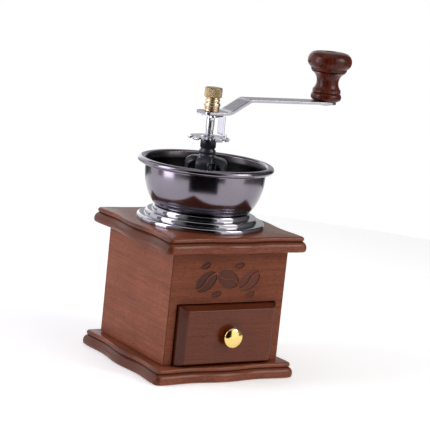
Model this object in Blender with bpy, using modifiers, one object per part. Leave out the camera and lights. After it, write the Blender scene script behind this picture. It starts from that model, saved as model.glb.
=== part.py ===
"""Hand-cranked burr coffee grinder: a wooden case with a drawer, a steel hopper and a conical burr set.

Metres, +Z up. The origin is the centre of the base board's underside. The drawer opens towards -Y,
and the crank points towards +X.
"""

import math

import bmesh
import bpy
from mathutils import Matrix, Vector

# ---------------------------------------------------------------- driving dimensions
GAP = 0.0003  # between pieces that touch
MERGE = 0.00001  # merge distance of the Screw modifiers
OVERCUT = 0.002  # how far a cutter runs past the face that it cuts

# wooden case
BOARD_HALF = 0.0573  # at the middle of an edge
BOARD_THICKNESS = 0.0106
BOARD_CORNER = 0.0050
BOARD_WAVE = 0.0020  # how far each edge dips in, a quarter and three quarters of the way along
BOARD_BOW = 0.0012  # how much further out an edge's middle stands than its corners
CASE_HEIGHT = 0.0794  # between the two boards
CASE_HALF = 0.0458
WALL = 0.006
WELL_RADIUS = 0.025  # hole in the top board that the burrs hang in

# drawer
OPENING_HALF = 0.0396
OPENING_HEIGHT = 0.0430
DRAWER_HALF = 0.0388
DRAWER_HEIGHT = 0.0416
DRAWER_PROUD = 0.0081  # of the drawer's face in front of the case
DRAWER_BEVEL_DEPTH = 0.0053
DRAWER_BEVEL_SIDE = 0.0047
DRAWER_BEVEL_TOP = 0.0024
DRAWER_FRONT_THICKNESS = 0.0100
DRAWER_SIDE = 0.0050
DRAWER_SIDE_HEIGHT = 0.0350
DRAWER_BOTTOM = 0.0025
DRAWER_BOTTOM_LIFT = 0.0020
DRAWER_KNOB_RADIUS = 0.0073
DRAWER_KNOB_LENGTH = 0.0074

# hopper
STEP_RADII = (0.0342, 0.0392, 0.0447)  # of the stepped ring, top to bottom
STEP_ROUND = 0.0013
RING_HEIGHT = 0.0098
RING_SHEET = 0.0008
BOWL_SHEET = 0.0008
BOWL_THROAT = 0.0245
BOWL_FOOT = 0.0333
BOWL_BELLY = 0.0422
BOWL_HEIGHT = 0.0334
RIM_RADIUS = 0.0480

# burr set and its bridge
CUP_RADIUS = 0.0232
CUP_WALL = 0.0018
CUP_DEPTH = 0.0220
FLANGE_RADIUS = 0.0305
FLANGE_THICKNESS = 0.0020
BRIDGE_SCREW_CIRCLE = 0.0275
BRIDGE_SCREW_RADIUS = 0.0015
BELL_RADIUS = 0.0149
BELL_WALL = 0.0027
NECK_RADIUS = 0.0055
BRIDGE_ARM_HALF = 0.0041  # half the width of each of its four arms
BURR_FEED_RADIUS = 0.0185
BURR_WAIST_RADIUS = 0.0150
BURR_EXIT_RADIUS = 0.0178
RUNNING_GAP = 0.0012  # between the burrs at the coarsest setting
OUTER_TEETH = 16
INNER_TEETH = 10

# spindle, crank and handle
SPINDLE_RADIUS = 0.0029
SPINDLE_FLAT = 0.0022  # half the width across its two flats
SPINDLE_STUB = 0.0095  # how far it stands above the crank, inside the cap nut
WHEEL_RADIUS = 0.01435
WHEEL_SHEET = 0.0012
WHEEL_NOTCHES = 10
BRACKET_SHEET = 0.0012
CRANK_SHEET = 0.0018
CRANK_REACH = 0.0949
CRANK_RISE = 0.0097
CRANK_BEND_START = 0.0112
CRANK_BEND_END = 0.0271
CRANK_BEND_RADII = (0.0120, 0.0060)
CRANK_HUB_HALF = 0.0084
CRANK_TIP_HALF = 0.0078
CAP_NUT_RADIUS = 0.0062
CAP_NUT_HEIGHT = 0.0163
KNOB_HEIGHT = 0.0355
KNOB_RADIUS = 0.0160
KNOB_BORE = 0.0027
PIN_RADIUS = 0.0023

# ---------------------------------------------------------------- heights that follow
CASE_FLOOR = BOARD_THICKNESS
CASE_TOP = CASE_FLOOR + CASE_HEIGHT
LID_TOP = CASE_TOP + BOARD_THICKNESS
DRAWER_FLOOR = CASE_FLOOR + 2 * GAP
DRAWER_BACK_Y = CASE_HALF - WALL - 2 * GAP  # the closed drawer rests against the rear wall
RING_TOP = LID_TOP + GAP + RING_HEIGHT
BOWL_FLOOR = RING_TOP + GAP  # underside of the bowl
RIM_TOP = BOWL_FLOOR + BOWL_HEIGHT
CUP_FLANGE_FLOOR = BOWL_FLOOR + BOWL_SHEET + GAP
BRIDGE_FLOOR = CUP_FLANGE_FLOOR + 0.0012 + GAP
BELL_TOP = RIM_TOP + 0.0028
NECK_TOP = BELL_TOP + 0.0117
WHEEL_FLOOR = NECK_TOP + 0.0012
BRACKET_TOP = WHEEL_FLOOR + 0.0168
CRANK_FLOOR = BRACKET_TOP + GAP
CRANK_TOP = CRANK_FLOOR + CRANK_SHEET
TIP_TOP = CRANK_TOP + CRANK_RISE
BURR_TOP = BRIDGE_FLOOR - GAP
BURR_FLOOR = BURR_TOP - CUP_DEPTH + CUP_WALL

COLOURS = {
    "walnut": ((0.24, 0.085, 0.045), 0.45, 0.0),
    "dark_walnut": ((0.10, 0.028, 0.014), 0.30, 0.0),
    "plywood": ((0.55, 0.38, 0.22), 0.60, 0.0),
    "black_steel": ((0.30, 0.28, 0.30), 0.12, 1.0),
    "chrome": ((0.75, 0.75, 0.78), 0.08, 1.0),
    "steel": ((0.62, 0.62, 0.64), 0.25, 1.0),
    "brass": ((0.62, 0.45, 0.20), 0.28, 1.0),
    "bright_brass": ((0.90, 0.68, 0.25), 0.12, 1.0),
    "black_plastic": ((0.012, 0.012, 0.016), 0.40, 0.0),
    "cast_iron": ((0.12, 0.12, 0.125), 0.50, 1.0),
}


# ---------------------------------------------------------------- scene and objects
def clear_scene():
    for obj in list(bpy.data.objects):
        bpy.data.objects.remove(obj, do_unlink=True)


def collection(name):
    made = bpy.data.collections.new(name)
    bpy.context.scene.collection.children.link(made)
    return made


def finish(name):
    """The Principled material of that name."""
    found = bpy.data.materials.get(name)
    if found:
        return found
    colour, roughness, metallic = COLOURS[name]
    made = bpy.data.materials.new(name)
    made.use_nodes = True
    shader = made.node_tree.nodes["Principled BSDF"]
    shader.inputs["Base Color"].default_value = (*colour, 1.0)
    shader.inputs["Roughness"].default_value = roughness
    shader.inputs["Metallic"].default_value = metallic
    return made


def add_object(name, mesh, material, group):
    obj = bpy.data.objects.new(name, mesh)
    if material:
        obj.data.materials.append(finish(material))
    group.objects.link(obj)
    if group is CUTTERS:
        obj.hide_render = True
        obj.display_type = "WIRE"
    return obj


def axis_empty(name, place, children):
    """An empty on a moving group's axis, with the group's pieces parented to it."""
    empty = bpy.data.objects.new(name, None)
    empty.location = place
    PARTS.objects.link(empty)
    for child in children:
        obj = bpy.data.objects[child]
        obj.parent = empty
        obj.matrix_parent_inverse = Matrix.Translation(-Vector(place))
    return empty


def from_bmesh(name, bm, material, group):
    bmesh.ops.recalc_face_normals(bm, faces=bm.faces)
    mesh = bpy.data.meshes.new(name)
    bm.to_mesh(mesh)
    bm.free()
    return add_object(name, mesh, material, group)


def smooth(obj):
    obj.data.shade_smooth()
    obj.data.set_sharp_from_angle(angle=math.radians(35))
    return obj


# ---------------------------------------------------------------- outlines
def arc(centre, radii, start, end, steps):
    """Points on an arc or, with two radii, on an ellipse. Angles are in degrees."""
    across, up = radii if isinstance(radii, tuple) else (radii, radii)
    points = []
    for i in range(steps + 1):
        turn = math.radians(start + (end - start) * i / steps)
        points.append((centre[0] + across * math.cos(turn), centre[1] + up * math.sin(turn)))
    return points


def wavy_square(half, corner, wave, bow, steps=8):
    """A rounded square whose edges swell at the middle and at the corners and dip between them."""
    points = []
    straight = half - bow - corner
    for quarter in range(4):
        turn = Matrix.Rotation(math.radians(90) * quarter, 2)
        for i in range(steps + 1):
            share = 2 * i / steps - 1
            dip = wave / 2 * (1 - math.cos(2 * math.pi * share)) + bow * share**2
            points.append(tuple(turn @ Vector((half - dip, straight * share))))
        for x, y in arc((straight, straight), corner, 0, 90, 3)[1:-1]:
            points.append(tuple(turn @ Vector((x, y))))
    return points


def two_flats(radius, half_flat, steps=8):
    """A round section with a flat on its +Y and on its -Y side."""
    edge = math.degrees(math.asin(half_flat / radius))
    return arc((0, 0), radius, -edge, edge, steps) + arc((0, 0), radius, 180 - edge, 180 + edge, steps)


# ---------------------------------------------------------------- solids
def block(name, low, high, material, group=None):
    """A box from its lowest to its highest corner."""
    bm = bmesh.new()
    bmesh.ops.create_cube(bm, size=1.0)
    low, high = Vector(low), Vector(high)
    bmesh.ops.scale(bm, vec=high - low, verts=bm.verts)
    bmesh.ops.translate(bm, vec=(high + low) / 2, verts=bm.verts)
    return from_bmesh(name, bm, material, group or PARTS)


def rod(name, radius, low, high, material, place=(0, 0), sides=24, group=None):
    """An upright cylinder from height low to height high."""
    bm = bmesh.new()
    bmesh.ops.create_cone(
        bm, cap_ends=True, segments=sides, radius1=radius, radius2=radius, depth=high - low
    )
    bmesh.ops.translate(bm, vec=(place[0], place[1], (low + high) / 2), verts=bm.verts)
    return smooth(from_bmesh(name, bm, material, group or PARTS))


def turned(name, outline, steps, material, closed=True, sheet=0.0, group=None):
    """Turns (radius, height) points, which run down the outer side, about Z. A sheet makes a shell."""
    mesh = bpy.data.meshes.new(name)
    edges = [(i, i + 1) for i in range(len(outline) - 1)]
    if closed:
        edges.append((len(outline) - 1, 0))
    mesh.from_pydata([(r, 0.0, z) for r, z in outline], edges, [])
    obj = add_object(name, mesh, material, group or PARTS)
    screw = obj.modifiers.new("Turn", "SCREW")
    screw.steps = screw.render_steps = steps
    screw.use_merge_vertices = True
    screw.merge_threshold = MERGE
    screw.use_smooth_shade = True
    if sheet:
        shell = obj.modifiers.new("Sheet", "SOLIDIFY")
        shell.thickness = sheet
        shell.offset = 0.0
        shell.use_even_offset = True
    return obj


def flat_mesh(name, outlines, half_thickness):
    """The mesh of a flat plate from a filled 2D curve; outlines after the first are holes."""
    curve = bpy.data.curves.new(name, "CURVE")
    curve.dimensions = "2D"
    curve.fill_mode = "BOTH"
    curve.extrude = half_thickness
    for outline in outlines:
        spline = curve.splines.new("POLY")
        spline.points.add(len(outline) - 1)
        for point, (x, y) in zip(spline.points, outline):
            point.co = (x, y, 0.0, 1.0)
        spline.use_cyclic_u = True
    source = bpy.data.objects.new(name, curve)
    PARTS.objects.link(source)
    bpy.context.view_layer.update()
    graph = bpy.context.evaluated_depsgraph_get()
    mesh = bpy.data.meshes.new_from_object(source.evaluated_get(graph))
    bpy.data.objects.remove(source)
    bm = bmesh.new()
    bm.from_mesh(mesh)
    bmesh.ops.remove_doubles(bm, verts=bm.verts, dist=MERGE)
    bpy.data.meshes.remove(mesh)
    return bm


def plate(name, outlines, low, high, material, group=None):
    """A flat plate with upright edges, from height low to height high."""
    bm = flat_mesh(name, outlines, (high - low) / 2)
    bmesh.ops.translate(bm, vec=(0, 0, (low + high) / 2), verts=bm.verts)
    return from_bmesh(name, bm, material, group or PARTS)


def folded_sheet(name, outlines, path, stations, thickness, material):
    """Sheet metal: a flat pattern in (length, width), whose length follows path(length) -> (x, z)."""
    bm = flat_mesh(name, outlines, 0.0)
    for station in stations:
        geometry = bm.verts[:] + bm.edges[:] + bm.faces[:]
        cut = bmesh.ops.bisect_plane(bm, geom=geometry, plane_co=(station, 0, 0), plane_no=(1, 0, 0))
        for edge in cut["geom_cut"]:
            if isinstance(edge, bmesh.types.BMEdge):
                edge.seam = True
    bmesh.ops.dissolve_limit(
        bm, angle_limit=math.radians(1), verts=bm.verts[:], edges=bm.edges[:], delimit={"SEAM"}
    )
    for vertex in bm.verts:
        x, z = path(vertex.co.x)
        vertex.co = (x, vertex.co.y, z)
    obj = from_bmesh(name, bm, material, PARTS)
    shell = obj.modifiers.new("Sheet", "SOLIDIFY")
    shell.thickness = thickness
    shell.offset = 0.0
    shell.use_even_offset = True
    return obj


def lofted(name, rings, material, ring_shaped=False):
    """Skins a stack of rings of equally many points. A ring-shaped solid joins its last to its first."""
    bm = bmesh.new()
    loops = [[bm.verts.new(point) for point in ring] for ring in rings]
    pairs = list(zip(loops, loops[1:]))
    if ring_shaped:
        pairs.append((loops[-1], loops[0]))
    for first, second in pairs:
        for i in range(len(first)):
            j = (i + 1) % len(first)
            bm.faces.new((first[i], first[j], second[j], second[i]))
    if not ring_shaped:
        bm.faces.new(loops[0])
        bm.faces.new(loops[-1])
    return from_bmesh(name, bm, material, PARTS)


def boolean(obj, other, operation="DIFFERENCE"):
    modifier = obj.modifiers.new(operation.title(), "BOOLEAN")
    modifier.operation = operation
    modifier.solver = "EXACT"
    modifier.object = other


def cut_hole(obj, name, radius, low, high, place=(0, 0), sides=24):
    boolean(obj, rod(name, radius, low, high, None, place, sides, CUTTERS))


# ---------------------------------------------------------------- wooden case
def moulding():
    """(inset, height) points up the boards' moulded edge: a swelling nose, a groove and a small bead."""
    top = BOARD_THICKNESS
    nose = [(0.0013, 0.0), (0.0003, 0.0008)] + arc((0.0034, 0.0023), (0.0034, 0.0046), 180, 105, 3)
    groove = [(0.0032, top - 0.0033)]
    bead_inset = 0.0023
    bead = arc((bead_inset + 0.0019, top - 0.0019), 0.0019, 195, 90, 3)
    return nose + groove + bead


def moulded_board(name, underside):
    rings = []
    for inset, height in moulding():
        outline = wavy_square(BOARD_HALF - inset, BOARD_CORNER - inset, BOARD_WAVE, BOARD_BOW)
        rings.append([(x, y, underside + height) for x, y in outline])
    return lofted(name, rings, "walnut")


def mitred_wall(name, quarter_turns):
    """One wall of the case. At no turn it stands at the front, on -Y."""
    outer, inner = CASE_HALF - 0.7 * GAP, CASE_HALF - WALL - 0.7 * GAP
    front, back = -CASE_HALF, WALL - CASE_HALF
    outline = [(-outer, front), (outer, front), (inner, back), (-inner, back)]
    wall = plate(name, [outline], CASE_FLOOR + GAP, CASE_TOP - GAP, "walnut")
    wall.data.transform(Matrix.Rotation(math.radians(90) * quarter_turns, 4, "Z"))
    return wall


def base_screw_places():
    """Plan positions of the screws that hold the base board, two under each side wall."""
    across = CASE_HALF - WALL / 2
    return [(sx * across, sy * 0.028) for sx in (-1, 1) for sy in (-1, 1)]


def countersunk_screw(name, head_face, tip, radius, place, points_up):
    """A wood screw between two heights: its flat head lies at head_face and its point at tip."""
    head_radius, head_height, point = 2 * radius, 1.1 * radius, 1.8 * radius
    sign = 1 if points_up else -1
    outline = [
        (0.0, head_face),
        (head_radius, head_face),
        (radius, head_face + sign * head_height),
        (radius, tip - sign * point),
        (0.0, tip),
    ]
    if points_up:
        outline.reverse()
    screw = turned(name, outline, 12, "steel", closed=False)
    screw.location = (*place, 0.0)
    return screw


def build_case():
    base = moulded_board("base_board", 0.0)
    lid = moulded_board("top_board", CASE_TOP)
    cut_hole(lid, "cut_burr_well", WELL_RADIUS, CASE_TOP - OVERCUT, LID_TOP + OVERCUT, sides=32)
    front = mitred_wall("front_panel", 0)
    right = mitred_wall("right_wall", 1)
    mitred_wall("rear_wall", 2)
    left = mitred_wall("left_wall", 3)
    opening = block(
        "cut_drawer_opening",
        (-OPENING_HALF, -CASE_HALF - OVERCUT, CASE_FLOOR - OVERCUT),
        (OPENING_HALF, WALL - CASE_HALF + OVERCUT, CASE_FLOOR + OPENING_HEIGHT),
        None,
        CUTTERS,
    )
    boolean(front, opening)
    radius, sunk = 0.0015, 0.0006
    for number, place in enumerate(base_screw_places(), 1):
        tip = CASE_FLOOR + 0.014
        countersunk_screw(f"base_screw_{number}", sunk, tip, radius, place, True)
        wall = right if place[0] > 0 else left
        hole = radius + GAP
        cut_hole(base, f"cut_base_{number}", hole, -OVERCUT, CASE_FLOOR + OVERCUT, place, 12)
        sink, sink_top = 2 * radius + GAP, sunk + 1.1 * radius + GAP
        outline = [(0, sink_top), (hole, sink_top), (sink, sunk), (sink, -OVERCUT), (0, -OVERCUT)]
        seat = turned(f"cut_sink_{number}", outline, 12, None, closed=False, group=CUTTERS)
        seat.location = (*place, 0.0)
        boolean(base, seat)
        cut_hole(wall, f"cut_pilot_{number}", hole, CASE_FLOOR - OVERCUT, tip + GAP, place, 12)


# ---------------------------------------------------------------- drawer
def bevelled_front(name, low, high):
    """The drawer's face board: its face is drawn in on all four sides."""
    bm = bmesh.new()
    bmesh.ops.create_cube(bm, size=1.0)
    shoulder = low.y + DRAWER_BEVEL_DEPTH
    back_corner = Vector((low.x, shoulder, low.z))
    bmesh.ops.scale(bm, vec=high - back_corner, verts=bm.verts)
    bmesh.ops.translate(bm, vec=(high + back_corner) / 2, verts=bm.verts)
    face = min(bm.faces, key=lambda f: f.calc_center_median().y)
    raised = bmesh.ops.extrude_face_region(bm, geom=[face])
    middle = Vector(((low.x + high.x) / 2, low.y, (low.z + high.z) / 2))
    for vertex in [item for item in raised["geom"] if isinstance(item, bmesh.types.BMVert)]:
        side = math.copysign(DRAWER_BEVEL_SIDE, middle.x - vertex.co.x)
        rise = math.copysign(DRAWER_BEVEL_TOP, middle.z - vertex.co.z)
        vertex.co += Vector((side, low.y - shoulder, rise))
    bmesh.ops.delete(bm, geom=[face], context="FACES_ONLY")
    return from_bmesh(name, bm, "walnut", PARTS)


def lying(obj, place):
    """Lays an object that was turned about Z along -Y, with its axis through a place (x, z)."""
    obj.rotation_euler = (math.radians(90), 0, 0)
    obj.location = (place[0], 0, place[1])
    return obj


def build_drawer():
    face_y = -CASE_HALF - DRAWER_PROUD
    back_y = face_y + DRAWER_FRONT_THICKNESS
    top = DRAWER_FLOOR + DRAWER_HEIGHT
    front = bevelled_front(
        "drawer_front", Vector((-DRAWER_HALF, face_y, DRAWER_FLOOR)), Vector((DRAWER_HALF, back_y, top))
    )
    side_top = DRAWER_FLOOR + DRAWER_SIDE_HEIGHT
    inner = DRAWER_HALF - DRAWER_SIDE
    box_y = back_y + GAP
    for name, sign in (("drawer_left_side", -1), ("drawer_right_side", 1)):
        low_x, high_x = sorted((sign * inner, sign * DRAWER_HALF))
        block(name, (low_x, box_y, DRAWER_FLOOR), (high_x, DRAWER_BACK_Y, side_top), "walnut")
    block(
        "drawer_back",
        (GAP - inner, DRAWER_BACK_Y - DRAWER_SIDE, DRAWER_FLOOR),
        (inner - GAP, DRAWER_BACK_Y, side_top),
        "walnut",
    )
    bottom = DRAWER_FLOOR + DRAWER_BOTTOM_LIFT
    block(
        "drawer_bottom",
        (GAP - inner, box_y, bottom),
        (inner - GAP, DRAWER_BACK_Y - DRAWER_SIDE - GAP, bottom + DRAWER_BOTTOM),
        "plywood",
    )
    build_drawer_knob(front, face_y, back_y, (0.0, DRAWER_FLOOR + DRAWER_HEIGHT / 2))


def build_drawer_knob(front, face_y, back_y, place):
    """A mushroom knob and the screw that holds it from inside. Lying down, its height becomes -Y."""
    base = -face_y + GAP
    rim = base + 0.0042
    crown = base + DRAWER_KNOB_LENGTH
    screw_radius, thread_end = 0.0017, base + 0.0042
    dome = arc((0, rim), (DRAWER_KNOB_RADIUS, crown - rim), 90, 0, 4)
    stem = [(0.0062, rim - 0.0007), (0.0034, base + 0.0022), (0.0030, base + 0.0012), (0.0042, base)]
    bore = [(screw_radius + GAP, base), (screw_radius + GAP, thread_end + GAP), (0.0, thread_end + GAP)]
    lying(turned("drawer_knob", dome + stem + bore, 20, "bright_brass", closed=False), place)
    head_radius, head_height = 0.0034, 0.0022
    seat = -back_y - GAP
    outline = [
        (0.0, thread_end),
        (screw_radius, thread_end),
        (screw_radius, seat),
        (head_radius, seat),
        (0.8 * head_radius, seat - head_height),
        (0.0, seat - head_height),
    ]
    lying(turned("drawer_knob_screw", outline, 12, "steel", closed=False), place)
    hole_low, hole_high = -back_y - OVERCUT, -face_y + OVERCUT
    hole = rod("cut_knob_hole", screw_radius + GAP, hole_low, hole_high, None, sides=12, group=CUTTERS)
    lying(hole, place)
    boolean(front, hole)


# ---------------------------------------------------------------- hopper
def build_hopper():
    step = RING_HEIGHT / len(STEP_RADII)
    outline = [(BOWL_THROAT, RING_TOP)]
    for number, radius in enumerate(STEP_RADII):
        crown = RING_TOP - number * step
        outline += arc((radius - STEP_ROUND, crown - STEP_ROUND), STEP_ROUND, 90, 0, 2)
        outline.append((radius, crown - step + (0.0004 if number < 2 else 0.0)))
    half_sheet = RING_SHEET / 2
    outline = [(r, z - half_sheet if z > LID_TOP + 0.001 else z) for r, z in outline]
    ring = turned("stepped_ring", outline, 28, "chrome", closed=False, sheet=RING_SHEET)

    rim_width = RIM_RADIUS - BOWL_BELLY
    crest = (BOWL_BELLY + rim_width / 2, RIM_TOP - rim_width / 2 * 0.8)
    lip = arc(crest, (rim_width / 2 - BOWL_SHEET / 2, rim_width / 2 * 0.8 - BOWL_SHEET / 2), -25, 165, 4)
    belly_height = crest[1] - 0.0045
    focus = 0.025  # radius of the belly's centre of curvature
    floor = BOWL_FLOOR + BOWL_SHEET / 2
    depth = 0.0300
    end = -math.degrees(math.asin((belly_height - floor - 0.0004) / depth))
    belly = arc((focus, belly_height), (BOWL_BELLY - focus - BOWL_SHEET / 2, depth), 0, end, 5)
    foot = [(BOWL_FOOT - 0.0022, floor), (BOWL_THROAT, floor)]
    bowl = turned("hopper_bowl", lip + belly + foot, 32, "black_steel", closed=False, sheet=BOWL_SHEET)
    for number, place in enumerate(bridge_screw_places(), 1):
        hole, low, high = BRIDGE_SCREW_RADIUS + GAP, RING_TOP - OVERCUT, BOWL_FLOOR + OVERCUT
        cutter = rod(f"cut_hopper_{number}", hole, low, high, None, place, 8, CUTTERS)
        boolean(ring, cutter)
        boolean(bowl, cutter)


# ---------------------------------------------------------------- burr set
def bridge_screw_places():
    circle = BRIDGE_SCREW_CIRCLE
    return [(circle, 0), (0, circle), (-circle, 0), (0, -circle)]


def build_bridge():
    """The black bridge: the neck that the spindle runs in, on four arms that bend down to the flange."""
    flange_top = BRIDGE_FLOOR + FLANGE_THICKNESS
    shoulder = (BELL_RADIUS - 0.0050, BELL_TOP - 0.0052)
    bush_seat = 0.0043
    neck = [
        (bush_seat, NECK_TOP),
        (NECK_RADIUS, NECK_TOP),
        (NECK_RADIUS, NECK_TOP - 0.0054),
        (NECK_RADIUS - 0.0006, NECK_TOP - 0.0060),
        (NECK_RADIUS + 0.0003, NECK_TOP - 0.0075),
        (NECK_RADIUS + 0.0003, NECK_TOP - 0.0092),
        (NECK_RADIUS - 0.0004, NECK_TOP - 0.0100),
        (NECK_RADIUS + 0.0002, BELL_TOP),
    ]
    bell = arc(shoulder, (0.0050, 0.0048), 80, 0, 3)
    skirt = [(BELL_RADIUS, flange_top + 0.0012), (BURR_FEED_RADIUS + 0.0030, flange_top)]
    flange = [(FLANGE_RADIUS, flange_top), (FLANGE_RADIUS, BRIDGE_FLOOR), (BURR_FEED_RADIUS, BRIDGE_FLOOR)]
    inner = BELL_RADIUS - BELL_WALL
    inside = [(inner, flange_top + 0.0010), (inner, BELL_TOP - 0.0070), (inner - 0.0030, BELL_TOP - 0.0040)]
    hub_foot = BELL_TOP - 0.0085
    hub = [(0.0064, BELL_TOP - 0.0040), (0.0060, hub_foot), (bush_seat, hub_foot)]
    bridge = turned("burr_bridge", neck + bell + skirt + flange + inside + hub, 24, "black_plastic")

    # between the arms, everything outside the hub is open from the sill up
    sill, roof = flange_top + 0.0016, BELL_TOP + 0.0010
    near, far, offset = 0.0070, 0.0220, BRIDGE_ARM_HALF * math.sqrt(2)
    window = [(near, offset - near), (far, offset - far), (far, far - offset), (near, near - offset)]
    for number in range(4):
        cutter = plate(f"cut_window_{number}", [window], sill, roof, None, CUTTERS)
        cutter.data.transform(Matrix.Rotation(math.radians(90) * number, 4, "Z"))
        boolean(bridge, cutter)
    for number, place in enumerate(bridge_screw_places(), 1):
        low, high = BRIDGE_FLOOR - OVERCUT, flange_top + OVERCUT
        cut_hole(bridge, f"cut_bridge_{number}", BRIDGE_SCREW_RADIUS + GAP, low, high, place, 8)
    bush = [
        (SPINDLE_RADIUS + GAP, NECK_TOP - GAP),
        (bush_seat - GAP, NECK_TOP - GAP),
        (bush_seat - GAP, hub_foot),
        (SPINDLE_RADIUS + GAP, hub_foot),
    ]
    turned("neck_bush", bush, 20, "brass")
    return hub_foot


def build_bridge_screws(lid, cup):
    """Pan-head screws from the bridge's flange through the cup, bowl and ring into the top board."""
    radius, seat = BRIDGE_SCREW_RADIUS, BRIDGE_FLOOR + FLANGE_THICKNESS + GAP
    tip = LID_TOP - 0.0080
    for number, place in enumerate(bridge_screw_places(), 1):
        head = arc((0, seat), (0.0029, 0.0020), 90, 0, 2)
        outline = head + [(radius, seat), (radius, tip + 0.0025), (0.0, tip)]
        screw = turned(f"bridge_screw_{number}", outline, 10, "steel", closed=False)
        screw.location = (*place, 0.0)
        cut_hole(lid, f"cut_lid_{number}", radius + GAP, tip - GAP, LID_TOP + OVERCUT, place, 8)
        low, high = CUP_FLANGE_FLOOR - OVERCUT, BRIDGE_FLOOR + OVERCUT
        cut_hole(cup, f"cut_cup_{number}", radius + GAP, low, high, place, 8)


def build_burr_cup():
    flange_top = BRIDGE_FLOOR - GAP
    floor = BURR_TOP - CUP_DEPTH
    lip = BURR_EXIT_RADIUS + 0.0006
    outline = [
        (CUP_RADIUS - CUP_WALL, flange_top),
        (FLANGE_RADIUS, flange_top),
        (FLANGE_RADIUS, CUP_FLANGE_FLOOR),
        (CUP_RADIUS, CUP_FLANGE_FLOOR),
        (CUP_RADIUS, floor),
        (lip, floor),
        (lip, floor + CUP_WALL - GAP),
        (CUP_RADIUS - CUP_WALL, floor + CUP_WALL - GAP),
    ]
    return turned("burr_cup", outline, 28, "black_plastic")


def toothed_ring(radius, height, depth, teeth, twist):
    """Saw teeth around a circle: each rises slowly to the radius and falls back steeply by depth."""
    ring = []
    for i in range(teeth):
        for share, drop in ((0.0, 1.0), (0.5, 0.3), (0.85, 0.0)):
            turn = 2 * math.pi * (i + share) / teeth + twist
            r = radius - depth * drop
            ring.append((r * math.cos(turn), r * math.sin(turn), height))
    return ring


def circle_ring(radius, height, count):
    return [(*point, height) for point in arc((0, 0), radius, 0, 360, count)[:-1]]


def waist_height():
    return BURR_FLOOR + 0.0060


def build_outer_burr():
    points = 3 * OUTER_TEETH
    outside = CUP_RADIUS - CUP_WALL - GAP
    sections = [
        (BURR_EXIT_RADIUS, BURR_FLOOR, 0.0003, 0.0),
        (BURR_WAIST_RADIUS, waist_height(), 0.0005, 0.10),
        (BURR_WAIST_RADIUS + 0.0012, waist_height() + 0.0065, 0.0012, 0.28),
        (BURR_FEED_RADIUS - 0.0003, BURR_TOP - 0.0003, 0.0015, 0.50),
    ]
    rings = [circle_ring(outside, BURR_TOP - 0.0003, points), circle_ring(outside, BURR_FLOOR, points)]
    for radius, height, depth, twist in sections:
        rings.append(toothed_ring(radius + depth, height, depth, OUTER_TEETH, twist))
    lofted("outer_burr", rings, "cast_iron", ring_shaped=True)


def build_inner_burr():
    top = BURR_TOP - 0.0010
    floor = BURR_FLOOR + 0.0002
    sections = [
        (0.0078, top, 0.0024, -0.9),
        (0.0100, top - 0.0065, 0.0024, -0.6),
        (BURR_WAIST_RADIUS - RUNNING_GAP - 0.0012, waist_height() + 0.0012, 0.0012, -0.2),
        (BURR_EXIT_RADIUS - RUNNING_GAP, floor, 0.0004, 0.0),
    ]
    rings = []
    for radius, height, depth, twist in sections:
        rings.append(toothed_ring(radius, height, depth, INNER_TEETH, twist))
    burr = lofted("inner_burr", rings, "cast_iron")
    bore = two_flats(SPINDLE_RADIUS + GAP, SPINDLE_FLAT + GAP)
    boolean(burr, plate("cut_burr_bore", [bore], floor - OVERCUT, top + OVERCUT, None, CUTTERS))
    return top, floor


# ---------------------------------------------------------------- spindle and its small parts
def build_spindle(burr_top, burr_floor):
    foot = burr_floor - 0.0078
    tip = CRANK_TOP + SPINDLE_STUB
    chamfer = 0.0005
    outline = [
        (0.0, tip),
        (SPINDLE_RADIUS - chamfer, tip),
        (SPINDLE_RADIUS, tip - chamfer),
        (SPINDLE_RADIUS, foot + chamfer),
        (SPINDLE_RADIUS - chamfer, foot),
        (0.0, foot),
    ]
    spindle = turned("spindle", outline, 20, "steel", closed=False)
    flats = ((BRACKET_TOP - 0.0040, tip + OVERCUT), (foot - OVERCUT, burr_top + GAP))
    for number, (low, high) in enumerate(flats):
        for side in (-1, 1):
            near, far = sorted((side * SPINDLE_FLAT, side * 2 * SPINDLE_RADIUS))
            name = f"cut_flat_{number}_{'left' if side < 0 else 'right'}"
            boolean(spindle, block(name, (-0.01, near, low), (0.01, far, high), None, CUTTERS))
    washer = (SPINDLE_RADIUS + GAP, 0.0068)
    seat = burr_top + GAP
    ring_washer("spring_washer", washer, seat, seat + 0.0007)
    ring_washer("burr_washer", washer, burr_floor - GAP - 0.0010, burr_floor - GAP)
    nut_top = burr_floor - 2 * GAP - 0.0010
    hexagon = arc((0, 0), 0.0056, 0, 360, 6)[:-1]
    bore = arc((0, 0), SPINDLE_RADIUS + GAP, 0, 360, 20)[:-1]
    plate("burr_nut", [hexagon, bore], nut_top - 0.0048, nut_top, "steel")
    return seat + 0.0007


def ring_washer(name, radii, low, high):
    inner, outer = radii
    turned(name, [(inner, high), (outer, high), (outer, low), (inner, low)], 20, "steel")


def build_spring(low, high):
    """A compression spring whose first and last turns lie flat."""
    wire, mean, turns, per_turn = 0.0005, 0.0043, 7, 8
    floor, ceiling = low + GAP + wire, high - GAP - wire
    flat_turns, closed_pitch = 1, 2.3 * wire
    count = turns * per_turn
    curve = bpy.data.curves.new("burr_spring", "CURVE")
    curve.dimensions = "3D"
    curve.bevel_depth = wire
    curve.bevel_resolution = 2
    curve.use_fill_caps = True
    spline = curve.splines.new("POLY")
    spline.points.add(count)
    open_turns = turns - 2 * flat_turns
    open_rise = (ceiling - floor - 2 * closed_pitch) / open_turns
    for i, point in enumerate(spline.points):
        turned_by = i / per_turn
        opened = min(max(turned_by - flat_turns, 0.0), open_turns)
        closed_part = turned_by - opened
        height = floor + opened * open_rise + closed_part * closed_pitch
        angle = 2 * math.pi * turned_by
        point.co = (mean * math.cos(angle), mean * math.sin(angle), height, 1.0)
    add_object("burr_spring", curve, "steel", PARTS)


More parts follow.
